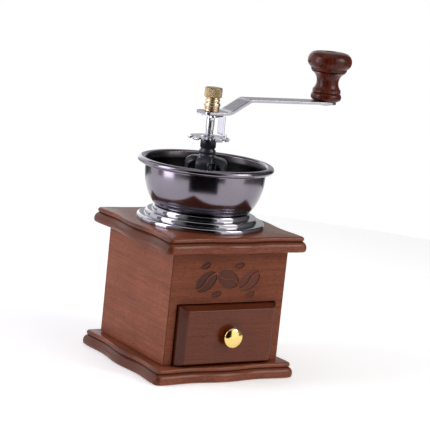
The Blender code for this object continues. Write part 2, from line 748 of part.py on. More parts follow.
def build_wheel():
    """The adjusting wheel: a notched sheet disc with its rim turned down, on a threaded boss."""
    notch_half = math.pi / WHEEL_NOTCHES * 0.36
    bore = SPINDLE_RADIUS + GAP
    bm = bmesh.new()
    shares = (0.0, 0.72, 0.82, 1.0)
    per_notch = 5
    count = WHEEL_NOTCHES * per_notch
    loops = []
    for share in shares:
        loop = []
        for i in range(count):
            # angle 0 is the middle of the notch that the lock bracket's tooth sits in
            notch, step = divmod(i, per_notch)
            offset = (-notch_half, notch_half, None, None, None)[step]
            lobe = 2 * math.pi / WHEEL_NOTCHES
            if offset is None:
                offset = notch_half + (lobe - 2 * notch_half) * (step - 1) / (per_notch - 1)
            angle = notch * lobe + offset
            cut = step < 2 and share > 0.75
            reach = 0.0115 if cut else bore + (WHEEL_RADIUS - bore) * share
            drop = 0.0 if cut else max(0.0, share - 0.82) / 0.18 * 0.0016
            height = WHEEL_FLOOR + WHEEL_SHEET / 2 - drop
            loop.append(bm.verts.new((reach * math.cos(angle), reach * math.sin(angle), height)))
        loops.append(loop)
    for inner, outer in zip(loops, loops[1:]):
        for i in range(count):
            j = (i + 1) % count
            corners = []
            for corner in (inner[i], inner[j], outer[j], outer[i]):
                if all((corner.co - other.co).length > MERGE for other in corners):
                    corners.append(corner)
            if len(corners) > 2:
                bm.faces.new(corners)
    bmesh.ops.remove_doubles(bm, verts=bm.verts, dist=MERGE)
    wheel = from_bmesh("adjusting_wheel", bm, "chrome", PARTS)
    shell = wheel.modifiers.new("Sheet", "SOLIDIFY")
    shell.thickness = WHEEL_SHEET
    shell.offset = 0.0
    boss = [
        (bore, WHEEL_FLOOR + WHEEL_SHEET + 0.0007),
        (0.0044, WHEEL_FLOOR + WHEEL_SHEET + 0.0007),
        (0.0050, WHEEL_FLOOR + 0.0006),
        (0.0050, NECK_TOP + GAP),
        (bore, NECK_TOP + GAP),
    ]
    boss_cutter = turned("join_boss", boss, 20, None, group=CUTTERS)
    boolean(wheel, boss_cutter, "UNION")


def fold_path(segments, start):
    """path(length) -> (x, z) through straight runs and bends. A segment is (length, degrees turned)."""
    steps = []
    x, z, heading = start[0], start[1], 0.0
    at = 0.0
    for length, degrees in segments:
        steps.append((at, length, math.radians(degrees), x, z, heading))
        bend = math.radians(degrees)
        if bend:
            radius = length / bend
            x += radius * (math.sin(heading + bend) - math.sin(heading))
            z -= radius * (math.cos(heading + bend) - math.cos(heading))
        else:
            x += length * math.cos(heading)
            z += length * math.sin(heading)
        heading += bend
        at += length

    def path(length):
        chosen = [step for step in steps if step[0] <= length] or steps[:1]
        begin, run, bend, px, pz, towards = chosen[-1]
        along = length - begin
        if not bend:
            return px + along * math.cos(towards), pz + along * math.sin(towards)
        radius, turn = run / bend, bend * along / run
        return (
            px + radius * (math.sin(towards + turn) - math.sin(towards)),
            pz - radius * (math.cos(towards + turn) - math.cos(towards)),
        )

    return path


def bend_stations(segments, per_bend=4):
    """Lengths at which the pattern is creased, so that it can follow its bends."""
    stations, at = [], 0.0
    for length, degrees in segments:
        count = per_bend if degrees else 1
        stations += [at + length * i / count for i in range(count + 1)]
        at += length
    return sorted(set(round(station, 7) for station in stations))[1:-1]


def build_lock_bracket():
    """The stamped bracket that keeps the adjusting wheel from turning on the spindle's thread."""
    plate_back, plate_half = 0.0060, 0.0105
    leg_x, leg_half, bend = 0.0092, 0.0039, 0.0018
    middle = BRACKET_TOP - BRACKET_SHEET / 2
    tooth_x = WHEEL_RADIUS - 0.0013
    bend_radius = bend / math.radians(90)
    drop = middle - (WHEEL_FLOOR + WHEEL_SHEET + 0.0016)
    foot_length = tooth_x - leg_x - 2 * bend_radius
    segments = [
        (plate_back + leg_x - bend_radius, 0),
        (bend, -90),
        (drop - 2 * bend_radius, 0),
        (bend, 90),
        (foot_length, 0),
        (bend, -90),
        (0.0026, 0),
    ]
    total = sum(length for length, _ in segments)
    path = fold_path(segments, (-plate_back, middle))
    neck_start = segments[0][0] - 0.0004
    tooth_start = sum(length for length, _ in segments[:4]) + 0.4 * foot_length
    tooth_half = 0.0013
    corner = 0.0025
    pattern = (
        [(neck_start, -leg_half), (tooth_start, -leg_half), (tooth_start + 0.0005, -tooth_half)]
        + [(total, -tooth_half), (total, tooth_half)]
        + [(tooth_start + 0.0005, tooth_half), (tooth_start, leg_half), (neck_start, leg_half)]
        + arc((corner, plate_half - corner), corner, 65, 180, 4)
        + arc((corner, -plate_half + corner), corner, 180, 295, 4)
    )
    hole = [(x + plate_back, y) for x, y in two_flats(SPINDLE_RADIUS + GAP, SPINDLE_FLAT + GAP)]
    folded_sheet("lock_bracket", [pattern, hole], path, bend_stations(segments), BRACKET_SHEET, "chrome")


def crank_segments():
    """The crank's side view: flat hub, a bend up, an incline, a bend back and the long arm."""
    run, rise = CRANK_BEND_END - CRANK_BEND_START, CRANK_RISE
    slope = math.atan2(rise, run)
    # from each bend's corner to where it starts
    lower, upper = (radius * math.tan(slope / 2) for radius in CRANK_BEND_RADII)
    incline = math.hypot(run, rise) - lower - upper
    flat = CRANK_HUB_HALF + CRANK_BEND_START - lower
    arm = CRANK_REACH + CRANK_TIP_HALF - CRANK_BEND_END - upper
    degrees = math.degrees(slope)
    bends = [radius * slope for radius in CRANK_BEND_RADII]
    return [(flat, 0), (bends[0], degrees), (incline, 0), (bends[1], -degrees), (arm, 0)]


def build_crank():
    segments = crank_segments()
    total = sum(length for length, _ in segments)
    path = fold_path(segments, (-CRANK_HUB_HALF, CRANK_FLOOR + CRANK_SHEET / 2))
    hub_corner = 0.0030
    half = 0.0081
    pattern = (
        arc((hub_corner, -half + hub_corner), hub_corner, 180, 270, 4)
        + [(total - 0.030, -half)]
        + arc((total - CRANK_TIP_HALF, 0), CRANK_TIP_HALF, -90, 90, 12)
        + [(total - 0.030, half)]
        + arc((hub_corner, half - hub_corner), hub_corner, 90, 180, 4)
    )
    drive = [(x + CRANK_HUB_HALF, y) for x, y in two_flats(SPINDLE_RADIUS + GAP, SPINDLE_FLAT + GAP)]
    pin_hole = arc((total - CRANK_TIP_HALF, 0), PIN_RADIUS + GAP, 0, 360, 20)[:-1]
    outlines = [pattern, drive, pin_hole]
    folded_sheet("crank_arm", outlines, path, bend_stations(segments, 5), CRANK_SHEET, "steel")


def build_cap_nut():
    """The brass nut that clamps the crank. It is blind, with a knurled head and a waisted foot."""
    foot = CRANK_TOP + GAP
    top = foot + CAP_NUT_HEIGHT
    knurl_foot = top - 0.0069
    radius = CAP_NUT_RADIUS
    outline = (
        [(0.0, top)]
        + arc((radius - 0.0008, top - 0.0008), 0.0008, 90, 0, 2)
        + [(radius, knurl_foot + 0.0004), (radius - 0.0005, knurl_foot)]
        + [(radius - 0.0013, knurl_foot - 0.0004)]
        + arc((radius - 0.0022, knurl_foot - 0.0020), (0.0012, 0.0013), 80, -80, 3)
        + arc((radius - 0.0006, foot + 0.0042), (0.0010, 0.0016), 150, 210, 2)
        + [(radius - 0.0007, foot + 0.0020), (radius - 0.0009, foot + 0.0016)]
        + [(radius - 0.0015, foot + 0.0012), (radius - 0.0010, foot + 0.0009), (radius - 0.0011, foot)]
    )
    bore = [
        (SPINDLE_RADIUS + GAP, foot),
        (SPINDLE_RADIUS + GAP, CRANK_TOP + SPINDLE_STUB + 2 * GAP),
        (0.0, CRANK_TOP + SPINDLE_STUB + 2 * GAP),
    ]
    turned("cap_nut", outline + bore, 20, "brass", closed=False)


def build_knob():
    """The turned wooden knob with its sunk screw head, on a pin riveted to the crank."""
    foot = TIP_TOP + GAP
    bulb_height = foot + 0.0288
    recess_radius, recess_floor = 0.0039, foot + KNOB_HEIGHT - 0.0056
    top = foot + KNOB_HEIGHT
    outline = (
        [(recess_radius, top), (0.0108, top - 0.0001)]
        + arc((0.0100, bulb_height), (KNOB_RADIUS - 0.0100, top - bulb_height), 65, 0, 4)
        + arc((0.0100, bulb_height), (KNOB_RADIUS - 0.0100, 0.0060), -20, -55, 2)
        + [(0.0128, foot + 0.0225), (0.0120, foot + 0.0213), (0.0105, foot + 0.0206)]
        + arc((0.0150, foot + 0.0138), (0.0071, 0.0076), 110, 232, 6)
        + [(0.0101, foot + 0.0066), (0.0104, foot + 0.0060)]
        + arc((0.0088, foot + 0.0031), (0.0023, 0.0029), 80, -75, 4)
        + [(0.0086, foot), (KNOB_BORE, foot), (KNOB_BORE, recess_floor), (recess_radius, recess_floor)]
    )
    knob = turned("crank_knob", outline, 24, "dark_walnut")
    knob.location = (CRANK_REACH, 0.0, 0.0)
    rivet_radius = 0.0038
    head_floor = recess_floor + GAP
    arm_floor = TIP_TOP - CRANK_SHEET - GAP
    pin_outline = (
        arc((0.0, head_floor + 0.0006), (0.0036, 0.0012), 90, 0, 2)
        + [(0.0036, head_floor), (PIN_RADIUS, head_floor), (PIN_RADIUS, arm_floor), (rivet_radius, arm_floor)]
        + arc((0.0, arm_floor - 0.0003), (rivet_radius, 0.0011), 0, -90, 2)
    )
    pin = turned("knob_pin", pin_outline, 16, "steel", closed=False)
    pin.location = (CRANK_REACH, 0.0, 0.0)


def group_moving_pieces():
    drawer = ("drawer_front", "drawer_left_side", "drawer_right_side", "drawer_back", "drawer_bottom")
    knob = ("drawer_knob", "drawer_knob_screw")
    axis_empty("drawer_slide", (0.0, -CASE_HALF, DRAWER_FLOOR), drawer + knob)
    crank = axis_empty("crank_axis", (0.0, 0.0, NECK_TOP), ("adjusting_wheel",))
    shaft = ("spindle", "inner_burr", "spring_washer", "burr_washer", "burr_nut", "burr_spring")
    head = ("lock_bracket", "crank_arm", "cap_nut", "knob_pin")
    lift = axis_empty("spindle_lift", (0.0, 0.0, NECK_TOP), shaft + head)
    knob_axis = axis_empty("knob_axis", (CRANK_REACH, 0.0, TIP_TOP), ("crank_knob",))
    for empty, parent in ((lift, crank), (knob_axis, lift)):
        empty.parent = parent
        empty.matrix_parent_inverse = Matrix.Translation(-crank.location)


def build():
    build_case()
    build_drawer()
    build_hopper()
    hub_foot = build_bridge()
    cup = build_burr_cup()
    build_bridge_screws(bpy.data.objects["top_board"], cup)
    build_outer_burr()
    burr_top, burr_floor = build_inner_burr()
    spring_seat = build_spindle(burr_top, burr_floor)
    build_spring(spring_seat, hub_foot)
    build_wheel()
    build_lock_bracket()
    build_crank()
    build_cap_nut()
    build_knob()
    group_moving_pieces()


clear_scene()
PARTS = collection("burr_coffee_grinder")
CUTTERS = collection("cutters")
build()
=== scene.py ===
"""Looks of the hand-cranked burr coffee grinder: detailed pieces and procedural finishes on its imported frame.

Metres, +Z up, in the frame's own coordinates. Places and sizes come from the boxes of the CAD nodes.
"""

import math

import bmesh
import bpy
from mathutils import Matrix, Vector


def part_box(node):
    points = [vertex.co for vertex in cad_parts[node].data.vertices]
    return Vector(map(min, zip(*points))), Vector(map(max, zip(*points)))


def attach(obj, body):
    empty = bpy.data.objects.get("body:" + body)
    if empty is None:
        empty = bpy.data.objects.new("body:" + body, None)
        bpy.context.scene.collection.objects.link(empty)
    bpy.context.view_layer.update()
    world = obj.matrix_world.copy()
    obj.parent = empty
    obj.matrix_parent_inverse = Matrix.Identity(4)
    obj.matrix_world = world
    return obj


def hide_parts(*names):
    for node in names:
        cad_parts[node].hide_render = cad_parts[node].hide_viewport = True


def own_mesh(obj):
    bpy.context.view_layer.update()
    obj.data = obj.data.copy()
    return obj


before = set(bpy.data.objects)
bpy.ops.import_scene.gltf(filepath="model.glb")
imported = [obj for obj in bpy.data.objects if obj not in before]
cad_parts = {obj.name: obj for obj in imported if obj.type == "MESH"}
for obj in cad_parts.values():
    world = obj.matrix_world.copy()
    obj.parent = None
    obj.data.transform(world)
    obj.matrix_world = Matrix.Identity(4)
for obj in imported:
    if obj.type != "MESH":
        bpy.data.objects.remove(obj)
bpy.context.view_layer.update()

GAP = 0.0003  # between pieces that touch
TAU = 2 * math.pi
QUARTER_TURNS = [Matrix.Rotation(math.radians(90) * quarter, 2) for quarter in range(4)]
ARM_HALF = 0.0041  # half the width of each of the bridge's four arms
THROAT_RADIUS = 0.0245  # of the hole through the bowl's floor and the top of the ring
WHEEL_SHEET = 0.0012
WHEEL_DROP = 0.0007  # how far the adjusting wheel's lobes turn down
TAPER_START = 0.030  # how far before its end the crank begins to narrow


# ---------------------------------------------------------------- outlines
def arc(centre, radii, start, end, steps):
    """Points on an arc or, with two radii, on an ellipse. Angles are in degrees."""
    across, up = radii if isinstance(radii, tuple) else (radii, radii)
    points = []
    for i in range(steps + 1):
        turn = math.radians(start + (end - start) * i / steps)
        points.append((centre[0] + across * math.cos(turn), centre[1] + up * math.sin(turn)))
    return points


def eased(points, radius, steps=3, closed=False):
    """The outline with its corners rounded. A corner between short sides is rounded less."""
    made = []
    count = len(points)
    for i, point in enumerate(points):
        here, before, after = Vector(point), Vector(points[i - 1]), Vector(points[(i + 1) % count])
        back, ahead = before - here, after - here
        reach = min(radius, 0.42 * back.length, 0.42 * ahead.length)
        bend = math.degrees(back.angle(-ahead, 0.0))
        if bend < 12 or (not closed and i in (0, count - 1)):
            made.append(tuple(point))
            continue
        start, end = here + back.normalized() * reach, here + ahead.normalized() * reach
        for k in range(steps + 1):
            t = k / steps
            made.append(tuple(start * (1 - t) ** 2 + here * 2 * t * (1 - t) + end * t**2))
    return made


def sheet_outline(points, thickness):
    """The closed outline of a sheet that follows a line of points, half its thickness to either side."""
    sides = ([], [])
    for i, point in enumerate(points):
        here = Vector(point)
        before = Vector(points[max(i - 1, 0)])
        after = Vector(points[min(i + 1, len(points) - 1)])
        along = (after - before).normalized()
        across = Vector((-along.y, along.x)) * thickness / 2
        sides[0].append(tuple(here + across))
        sides[1].append(tuple(here - across))
    return sides[0] + sides[1][::-1]


def wavy_square(half, corner, wave, bow, steps=40):
    """A rounded square whose edges swell at the middle and at the corners and dip between them."""
    points = []
    straight = half - bow - corner
    for turn in QUARTER_TURNS:
        for i in range(steps + 1):
            share = 2 * i / steps - 1
            dip = wave / 2 * (1 - math.cos(TAU * share)) + bow * share**2
            points.append(tuple(turn @ Vector((half - dip, straight * share))))
        for x, y in arc((straight, straight), corner, 0, 90, 10)[1:-1]:
            points.append(tuple(turn @ Vector((x, y))))
    return points


# ---------------------------------------------------------------- meshes
def skin(bm, rows, closed=True):
    """Faces between neighbouring rows of equally many vertices. A closed row is a ring."""
    for first, second in zip(rows, rows[1:]):
        for i in range(len(first) if closed else len(first) - 1):
            j = (i + 1) % len(first)
            bm.faces.new((first[i], first[j], second[j], second[i]))


def lathe(outline, segments, centre=(0.0, 0.0), closed=False, shape=None):
    """Turns (radius, height) points about an upright axis. shape(radius, angle, height) may change radii."""
    bm = bmesh.new()
    loops = []
    for radius, height in outline:
        if radius < 1e-7:
            loops.append([bm.verts.new((*centre, height))])
            continue
        loop = []
        for i in range(segments):
            angle = TAU * i / segments
            r = shape(radius, angle, height) if shape else radius
            x, y = centre[0] + r * math.cos(angle), centre[1] + r * math.sin(angle)
            loop.append(bm.verts.new((x, y, height)))
        loops.append(loop)
    if closed:
        loops.append(loops[0])
    for first, second in zip(loops, loops[1:]):
        if len(first) == len(second):
            skin(bm, (first, second))
            continue
        for i in range(segments):
            j = (i + 1) % segments
            if len(first) == 1:
                bm.faces.new((first[0], second[i], second[j]))
            else:
                bm.faces.new((first[j], first[i], second[0]))
    return bm


def prism(outline, low, high, bm=None):
    """An upright prism over a plan outline, alone or added to a mesh."""
    bm = bm or bmesh.new()
    floor, roof = ([bm.verts.new((x, y, z)) for x, y in outline] for z in (low, high))
    bm.faces.new(floor)
    bm.faces.new(roof)
    skin(bm, (floor, roof))
    return bm


def loft(rings, ends="capped"):
    """Skins rings with equal numbers of points. The first and the last are capped, joined or left open."""
    bm = bmesh.new()
    loops = [[bm.verts.new(point) for point in ring] for ring in rings]
    skin(bm, loops + loops[:1] if ends == "joined" else loops)
    if ends == "capped":
        bm.faces.new(loops[0])
        bm.faces.new(loops[-1])
    return bm


def stand(name, data):
    """An object of that data, in the scene."""
    obj = bpy.data.objects.new(name, data)
    bpy.context.scene.collection.objects.link(obj)
    return obj


def plain(name, bm, material=None):
    """An object of that mesh, which is used up."""
    bmesh.ops.recalc_face_normals(bm, faces=bm.faces)
    mesh = bpy.data.meshes.new(name)
    bm.to_mesh(mesh)
    bm.free()
    if material:
        mesh.materials.append(material)
    return stand(name, mesh)


def soften(obj, angle=35):
    obj.data.shade_smooth()
    obj.data.set_sharp_from_angle(angle=math.radians(angle))
    return obj


def settle(obj, angle=35):
    """Applies the object's modifiers, so that its own mesh is the final one."""
    bpy.context.view_layer.update()
    graph = bpy.context.evaluated_depsgraph_get()
    mesh = bpy.data.meshes.new_from_object(obj.evaluated_get(graph))
    obj.modifiers.clear()
    obj.data = mesh
    return soften(obj, angle)


def carve(obj, cutters, operation="DIFFERENCE", angle=35):
    for cutter in cutters:
        modifier = obj.modifiers.new("Carve", "BOOLEAN")
        modifier.solver = "EXACT"
        modifier.operation = operation
        modifier.object = cutter
    settle(obj, angle)
    for cutter in cutters:
        bpy.data.objects.remove(cutter)
    return obj


def ease_edges(obj, width, segments=2, angle=35, weld=False):
    """Rounds the object's sharp edges with a bevel. A CAD node's corners are welded first."""
    if weld:
        welded = obj.modifiers.new("Weld", "WELD")
        welded.merge_threshold = 0.000005
    bevel = obj.modifiers.new("Edges", "BEVEL")
    bevel.width, bevel.segments = width, segments
    bevel.limit_method, bevel.angle_limit = "ANGLE", math.radians(angle)
    bevel.harden_normals = True
    return obj


def place(obj, body, node):
    """The piece moves with that body and stands for that CAD node."""
    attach(obj, body)
    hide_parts(node)
    return obj


def centre_of(node):
    """The middle of a node's box in plan."""
    low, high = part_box(node)
    return tuple(((low + high) / 2).xy)


def turned(name, outline, segments, material, centre=(0.0, 0.0), closed=False, shape=None):
    """A smooth piece that is turned about an upright axis."""
    return soften(plain(name, lathe(outline, segments, centre, closed, shape), material))


# ---------------------------------------------------------------- finishes
class Graph:
    """Builds a tree of shader nodes. A value is a number, a colour or another node's output."""

    def __init__(self, tree):
        self.tree = tree

    def put(self, socket, value):
        if isinstance(value, bpy.types.NodeSocket):
            self.tree.links.new(value, socket)
        else:
            socket.default_value = value

    def node(self, kind, values=None, **settings):
        made = self.tree.nodes.new("ShaderNode" + kind)
        for name, value in settings.items():
            setattr(made, name, value)
        for name, value in (values or {}).items():
            self.put(made.inputs[name], value)
        return made

    def ramp(self, value, *stops):
        """A colour ramp; each stop is (position, grey level or colour)."""
        made = self.node("ValToRGB", {"Fac": value})
        ramp = made.color_ramp
        while len(ramp.elements) < len(stops):
            ramp.elements.new(1.0)
        for element, (position, colour) in zip(ramp.elements, stops):
            element.position = position
            element.color = (*colour, 1.0) if isinstance(colour, tuple) else (colour, colour, colour, 1.0)
        return made.outputs["Color"]

    def math(self, operation, first, second):
        return self.node("Math", {0: first, 1: second}, operation=operation).outputs[0]

    def mix(self, share, *colours):
        first, second = (c if isinstance(c, bpy.types.NodeSocket) else (*c, 1.0) for c in colours)
        return self.node("Mix", {0: share, 6: first, 7: second}, data_type="RGBA").outputs[2]


class Finish(Graph):
    """A procedural material on a Principled shader. Its patterns follow the object's own coordinates."""

    def __init__(self, name, colour, roughness, metallic=0.0, **more):
        self.material = bpy.data.materials.new(name)
        self.material.use_nodes = True
        super().__init__(self.material.node_tree)
        self.shader = self.tree.nodes["Principled BSDF"]
        self.coords = self.node("TexCoord").outputs["Object"]
        self.set(Base_Color=(*colour, 1.0), Roughness=roughness, Metallic=metallic, **more)
        self.material.diffuse_color = (*colour, 1.0)

    def set(self, **values):
        """Sets the shader's inputs, named with underscores for spaces."""
        for name, value in values.items():
            self.put(self.shader.inputs[name.replace("_", " ")], value)

    def noise(self, scale, detail=2.0, roughness=0.5, distortion=0.0, shift=(0, 0, 0)):
        """Noise whose scale is in features per metre, one number or one for each axis."""
        scales = scale if isinstance(scale, tuple) else (scale, scale, scale)
        mapped = self.node("Mapping", {"Vector": self.coords, "Scale": scales, "Location": shift})
        values = {"Vector": mapped.outputs["Vector"], "Scale": 1.0, "Detail": detail, "Roughness": roughness}
        return self.node("TexNoise", {**values, "Distortion": distortion}).outputs["Fac"]

    def dress(self, colour, roughness, height, strength, distance):
        """Sets the colour, the roughness and a bump, and returns the finished material."""
        bump = self.node("Bump", {"Height": height, "Strength": strength, "Distance": distance})
        self.set(Base_Color=colour, Roughness=roughness, Normal=bump.outputs["Normal"])
        return self.material


def scaled(colour, share):
    return tuple(share * channel for channel in colour)


def stretched(grain, across, ratio):
    """Noise scales for a pattern drawn out along one axis."""
    return tuple(across / ratio if axis == grain else across for axis in "xyz")


def wood(
    name, grain, dark, middle, light, roughness=0.40, coat=0.02, gloss=0.11, shift=(0, 0, 0),
    end_grain=None, shaded_grooves=(), coat_roughness=0.22
):
    """Stained, lacquered wood: broad figure, fine streaks and short open pores along the grain.

    End grain, beyond that distance from the middle along X, is darker: partly the stain it soaks up and
    partly painted shade. Painted shade also darkens the moulding's groove at each of those heights.
    """
    lacquer = {"Coat_Weight": coat, "Coat_Roughness": coat_roughness, "Specular_IOR_Level": gloss}
    made = Finish(name, middle, roughness, **lacquer)
    figure = made.noise(stretched(grain, 70, 9), 3.0, 0.55, 1.6, shift)
    streaks = made.noise(stretched(grain, 520, 26), 3.0, 0.6, 0.4, shift)
    hairs = made.noise(stretched(grain, 1700, 42), 2.0, 0.6, 0.0, shift)
    cloud = made.noise(34, 2.0, 0.5, 0.0, shift)
    tone = 0.0
    for pattern, weight in ((figure, 0.22), (streaks, 0.28), (hairs, 0.32), (cloud, 0.18)):
        tone = made.math("ADD", tone, made.math("MULTIPLY", pattern, weight))
    colour = made.ramp(tone, (0.36, dark), (0.50, middle), (0.64, light))
    pores = made.noise(stretched(grain, 2600, 9), 1.0, 0.5, 0.0, shift)
    pores = made.ramp(pores, (0.56, 0.0), (0.68, 1.0))
    colour = made.mix(made.math("MULTIPLY", pores, 0.55), colour, scaled(dark, 0.35))
    apart = made.node("SeparateXYZ", {"Vector": made.coords}).outputs
    # the stain colour, used for the darker end grain and for the painted shade in the grooves
    stain_and_shade = scaled(dark, 0.42)
    # partly real stain, partly painted shade: end grain is darkened towards the stain colour further than its
    # stain alone would
    if end_grain:
        beyond = made.math("SUBTRACT", made.math("ABSOLUTE", apart["X"], 0.0), end_grain)
        soak_and_shade = made.ramp(made.math("MULTIPLY", beyond, 600.0), (0.1, 0.0), (0.9, 1.0))
        soak_and_shade = made.math("MULTIPLY", soak_and_shade, 0.92)
        colour = made.mix(soak_and_shade, colour, made.mix(streaks, stain_and_shade, dark))
    # painted shade: the wood is darkened towards the stain colour at each groove height
    for height in shaded_grooves:
        away = made.math("ABSOLUTE", made.math("SUBTRACT", apart["Z"], height), 0.0)
        groove_shade = made.ramp(made.math("MULTIPLY", away, 1000.0), (0.25, 0.85), (0.95, 0.0))
        colour = made.mix(groove_shade, colour, stain_and_shade)
    sheen = made.ramp(streaks, (0.30, roughness - 0.05), (0.75, roughness + 0.10))
    relief = made.math("SUBTRACT", made.math("MULTIPLY", hairs, 0.35), made.math("MULTIPLY", pores, 0.6))
    return made.dress(colour, sheen, relief, 0.22, 0.0001)


def burnt_wood():
    """Walnut scorched by a branding iron: darkest on the left, and fading to the right."""
    made = Finish("burnt_walnut", (0.05, 0.018, 0.012), 0.55, Specular_IOR_Level=0.25)
    across = made.node("SeparateXYZ", {"Vector": made.coords}).outputs["X"]
    streaks = made.noise(stretched("x", 520, 26), 3.0, 0.6)
    cloud = made.noise(220, 3.0, 0.6)
    left, right = -0.024, 0.030
    reach = {"Value": across, "From Min": left, "From Max": right, "To Max": 0.62}
    fade = made.node("MapRange", reach).outputs["Result"]
    fade = made.math("ADD", fade, made.math("MULTIPLY", cloud, 0.30))
    scorched = made.mix(streaks, (0.030, 0.009, 0.006), (0.075, 0.022, 0.014))
    colour = made.mix(fade, scorched, (0.175, 0.048, 0.027))
    return made.dress(colour, made.ramp(cloud, (0.3, 0.48), (0.7, 0.66)), streaks, 0.25, 0.0001)


def polished(name, colour, roughness, smudge=0.05, tint=None):
    """Bright metal with faint smudges and very fine polishing lines."""
    made = Finish(name, colour, roughness, 1.0)
    cloud = made.noise(90, 4.0, 0.6)
    fine = made.noise((500, 500, 6000), 2.0, 0.5)
    dulled = made.ramp(cloud, (0.30, roughness), (0.72, roughness + smudge))
    shade = made.mix(made.ramp(cloud, (0.35, 0.0), (0.70, 1.0)), colour, tint or scaled(colour, 0.93))
    return made.dress(shade, dulled, fine, 0.03, 0.00002)


def brushed(name, grain, colour, roughness):
    """Steel with lines drawn along one axis and a few darker patches of handling."""
    made = Finish(name, colour, roughness, 1.0)
    lines = made.noise(stretched(grain, 5200, 90), 3.0, 0.6)
    broad = made.noise(stretched(grain, 700, 14), 2.0, 0.5)
    cloud = made.noise(60, 3.0, 0.55)
    dim = scaled(colour, 0.78)
    depth = made.math("ADD", made.math("MULTIPLY", lines, 0.5), made.math("MULTIPLY", broad, 0.5))
    shade = made.mix(made.ramp(depth, (0.38, 1.0), (0.60, 0.0)), colour, dim)
    shade = made.mix(made.ramp(cloud, (0.52, 0.0), (0.78, 0.35)), shade, scaled(dim, 0.8))
    dulled = made.ramp(lines, (0.30, roughness - 0.05), (0.72, roughness + 0.08))
    return made.dress(shade, dulled, lines, 0.05, 0.00003)


def moulded_plastic(name, colour, roughness):
    """Dark plastic with a fine moulded grain and paler, scuffed patches."""
    made = Finish(name, colour, roughness, Specular_IOR_Level=0.55)
    grain = made.noise(2600, 2.0, 0.6)
    cloud = made.noise(120, 3.0, 0.5)
    shade = made.mix(made.ramp(cloud, (0.3, 0.0), (0.8, 1.0)), colour, scaled(colour, 1.9))
    dulled = made.ramp(cloud, (0.30, roughness - 0.06), (0.75, roughness + 0.08))
    return made.dress(shade, dulled, grain, 0.08, 0.00006)


def cast_metal(name, colour, roughness):
    """Grey metal with the coarse skin of a casting."""
    made = Finish(name, colour, roughness, 0.85)
    grain = made.noise(1500, 3.0, 0.65)
    cloud = made.noise(180, 3.0, 0.5)
    shade = made.mix(made.ramp(cloud, (0.3, 0.0), (0.75, 1.0)), colour, scaled(colour, 0.55))
    dulled = made.ramp(grain, (0.30, roughness - 0.08), (0.75, roughness + 0.12))
    return made.dress(shade, dulled, grain, 0.35, 0.00012)


WALNUT = ((0.138, 0.036, 0.016), (0.208, 0.059, 0.028), (0.278, 0.086, 0.044))
wood_x = wood("walnut_along_x", "x", *WALNUT)
BOARD_WALNUT = ((0.138, 0.034, 0.014), (0.220, 0.058, 0.026), (0.296, 0.087, 0.041))
# heights of the boards' grooves, where shade is painted in
SHADED_GROOVES = [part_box(node)[1].z - 0.0033 for node in ("base_board", "top_board")]
wood_x_board = wood(
    "walnut_boards", "x", *BOARD_WALNUT, roughness=0.32, coat=0.28, gloss=0.08, shift=(0.31, 0.12, 0.07),
    coat_roughness=0.14, end_grain=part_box("top_board")[1].x - 0.0052, shaded_grooves=SHADED_GROOVES
)
wood_y = wood("walnut_along_y", "y", *WALNUT, shift=(0.13, 0.41, 0.23))
DRAWER_WALNUT = ((0.093, 0.015, 0.003), (0.127, 0.023, 0.005), (0.166, 0.034, 0.009))
wood_drawer = wood(
    "walnut_drawer", "x", *DRAWER_WALNUT, coat=0.45, coat_roughness=0.10, shift=(0.7, 0.2, 0.5),
    end_grain=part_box("drawer_front")[1].x - 0.0052
)
DARK_WALNUT = ((0.020, 0.003, 0.0020), (0.080, 0.011, 0.004), (0.175, 0.028, 0.009))
wood_knob = wood("dark_walnut", "z", *DARK_WALNUT, roughness=0.26, coat=0.10, gloss=0.22)
PLYWOOD = ((0.40, 0.25, 0.13), (0.55, 0.38, 0.22), (0.66, 0.48, 0.30))
wood_raw = wood("plywood", "x", *PLYWOOD, roughness=0.6, coat=0.0)
wood_burnt = burnt_wood()
black_chrome = polished("black_chrome", (0.232, 0.209, 0.247), 0.14, 0.05)
# painted shade: a much darker copy of the black chrome, for the bowl's inside and floor
black_chrome_painted_shade = polished("black_chrome_painted_shade", (0.043, 0.039, 0.041), 0.26, 0.08)
chrome = polished("chrome", (0.42, 0.41, 0.45), 0.05, 0.05)
zinc = polished("zinc_plate", (0.74, 0.74, 0.80), 0.14, 0.08)
steel = brushed("brushed_steel", "x", (0.44, 0.42, 0.47), 0.22)
screw_steel = polished("screw_steel", (0.60, 0.60, 0.62), 0.24, 0.10)
brass = polished("brass", (0.48, 0.37, 0.21), 0.26, 0.12, tint=(0.36, 0.27, 0.14))
turned_brass = polished("turned_brass", (0.78, 0.62, 0.42), 0.30, 0.08)
bright_brass = polished("bright_brass", (0.95, 0.70, 0.24), 0.08, 0.05)
black_plastic = moulded_plastic("black_plastic", (0.023, 0.023, 0.031), 0.32)
cast_iron = cast_metal("cast_iron", (0.16, 0.16, 0.165), 0.42)


# ---------------------------------------------------------------- screws
def cross_recess(centre, face, depth, size, opens_up):
    """A cross-shaped cutter that narrows as it sinks into a screw head, whose face looks up or down."""
    inwards = -1 if opens_up else 1
    floor, mouth = face + inwards * depth, face - inwards * 0.001
    half, outline, askew = 0.17 * size, [], Matrix.Rotation(0.5, 2)
    for turn in QUARTER_TURNS:
        for corner in ((size, -half), (size, half), (half, half)):
            outline.append(tuple(turn @ askew @ Vector(corner)))
    bm = prism(outline, min(floor, mouth), max(floor, mouth))
    for vertex in bm.verts:
        if abs(vertex.co.z - floor) < 1e-7:
            vertex.co.xy = 0.4 * vertex.co.xy
    bmesh.ops.translate(bm, vec=(*centre, 0.0), verts=bm.verts)
    return plain("recess", bm)


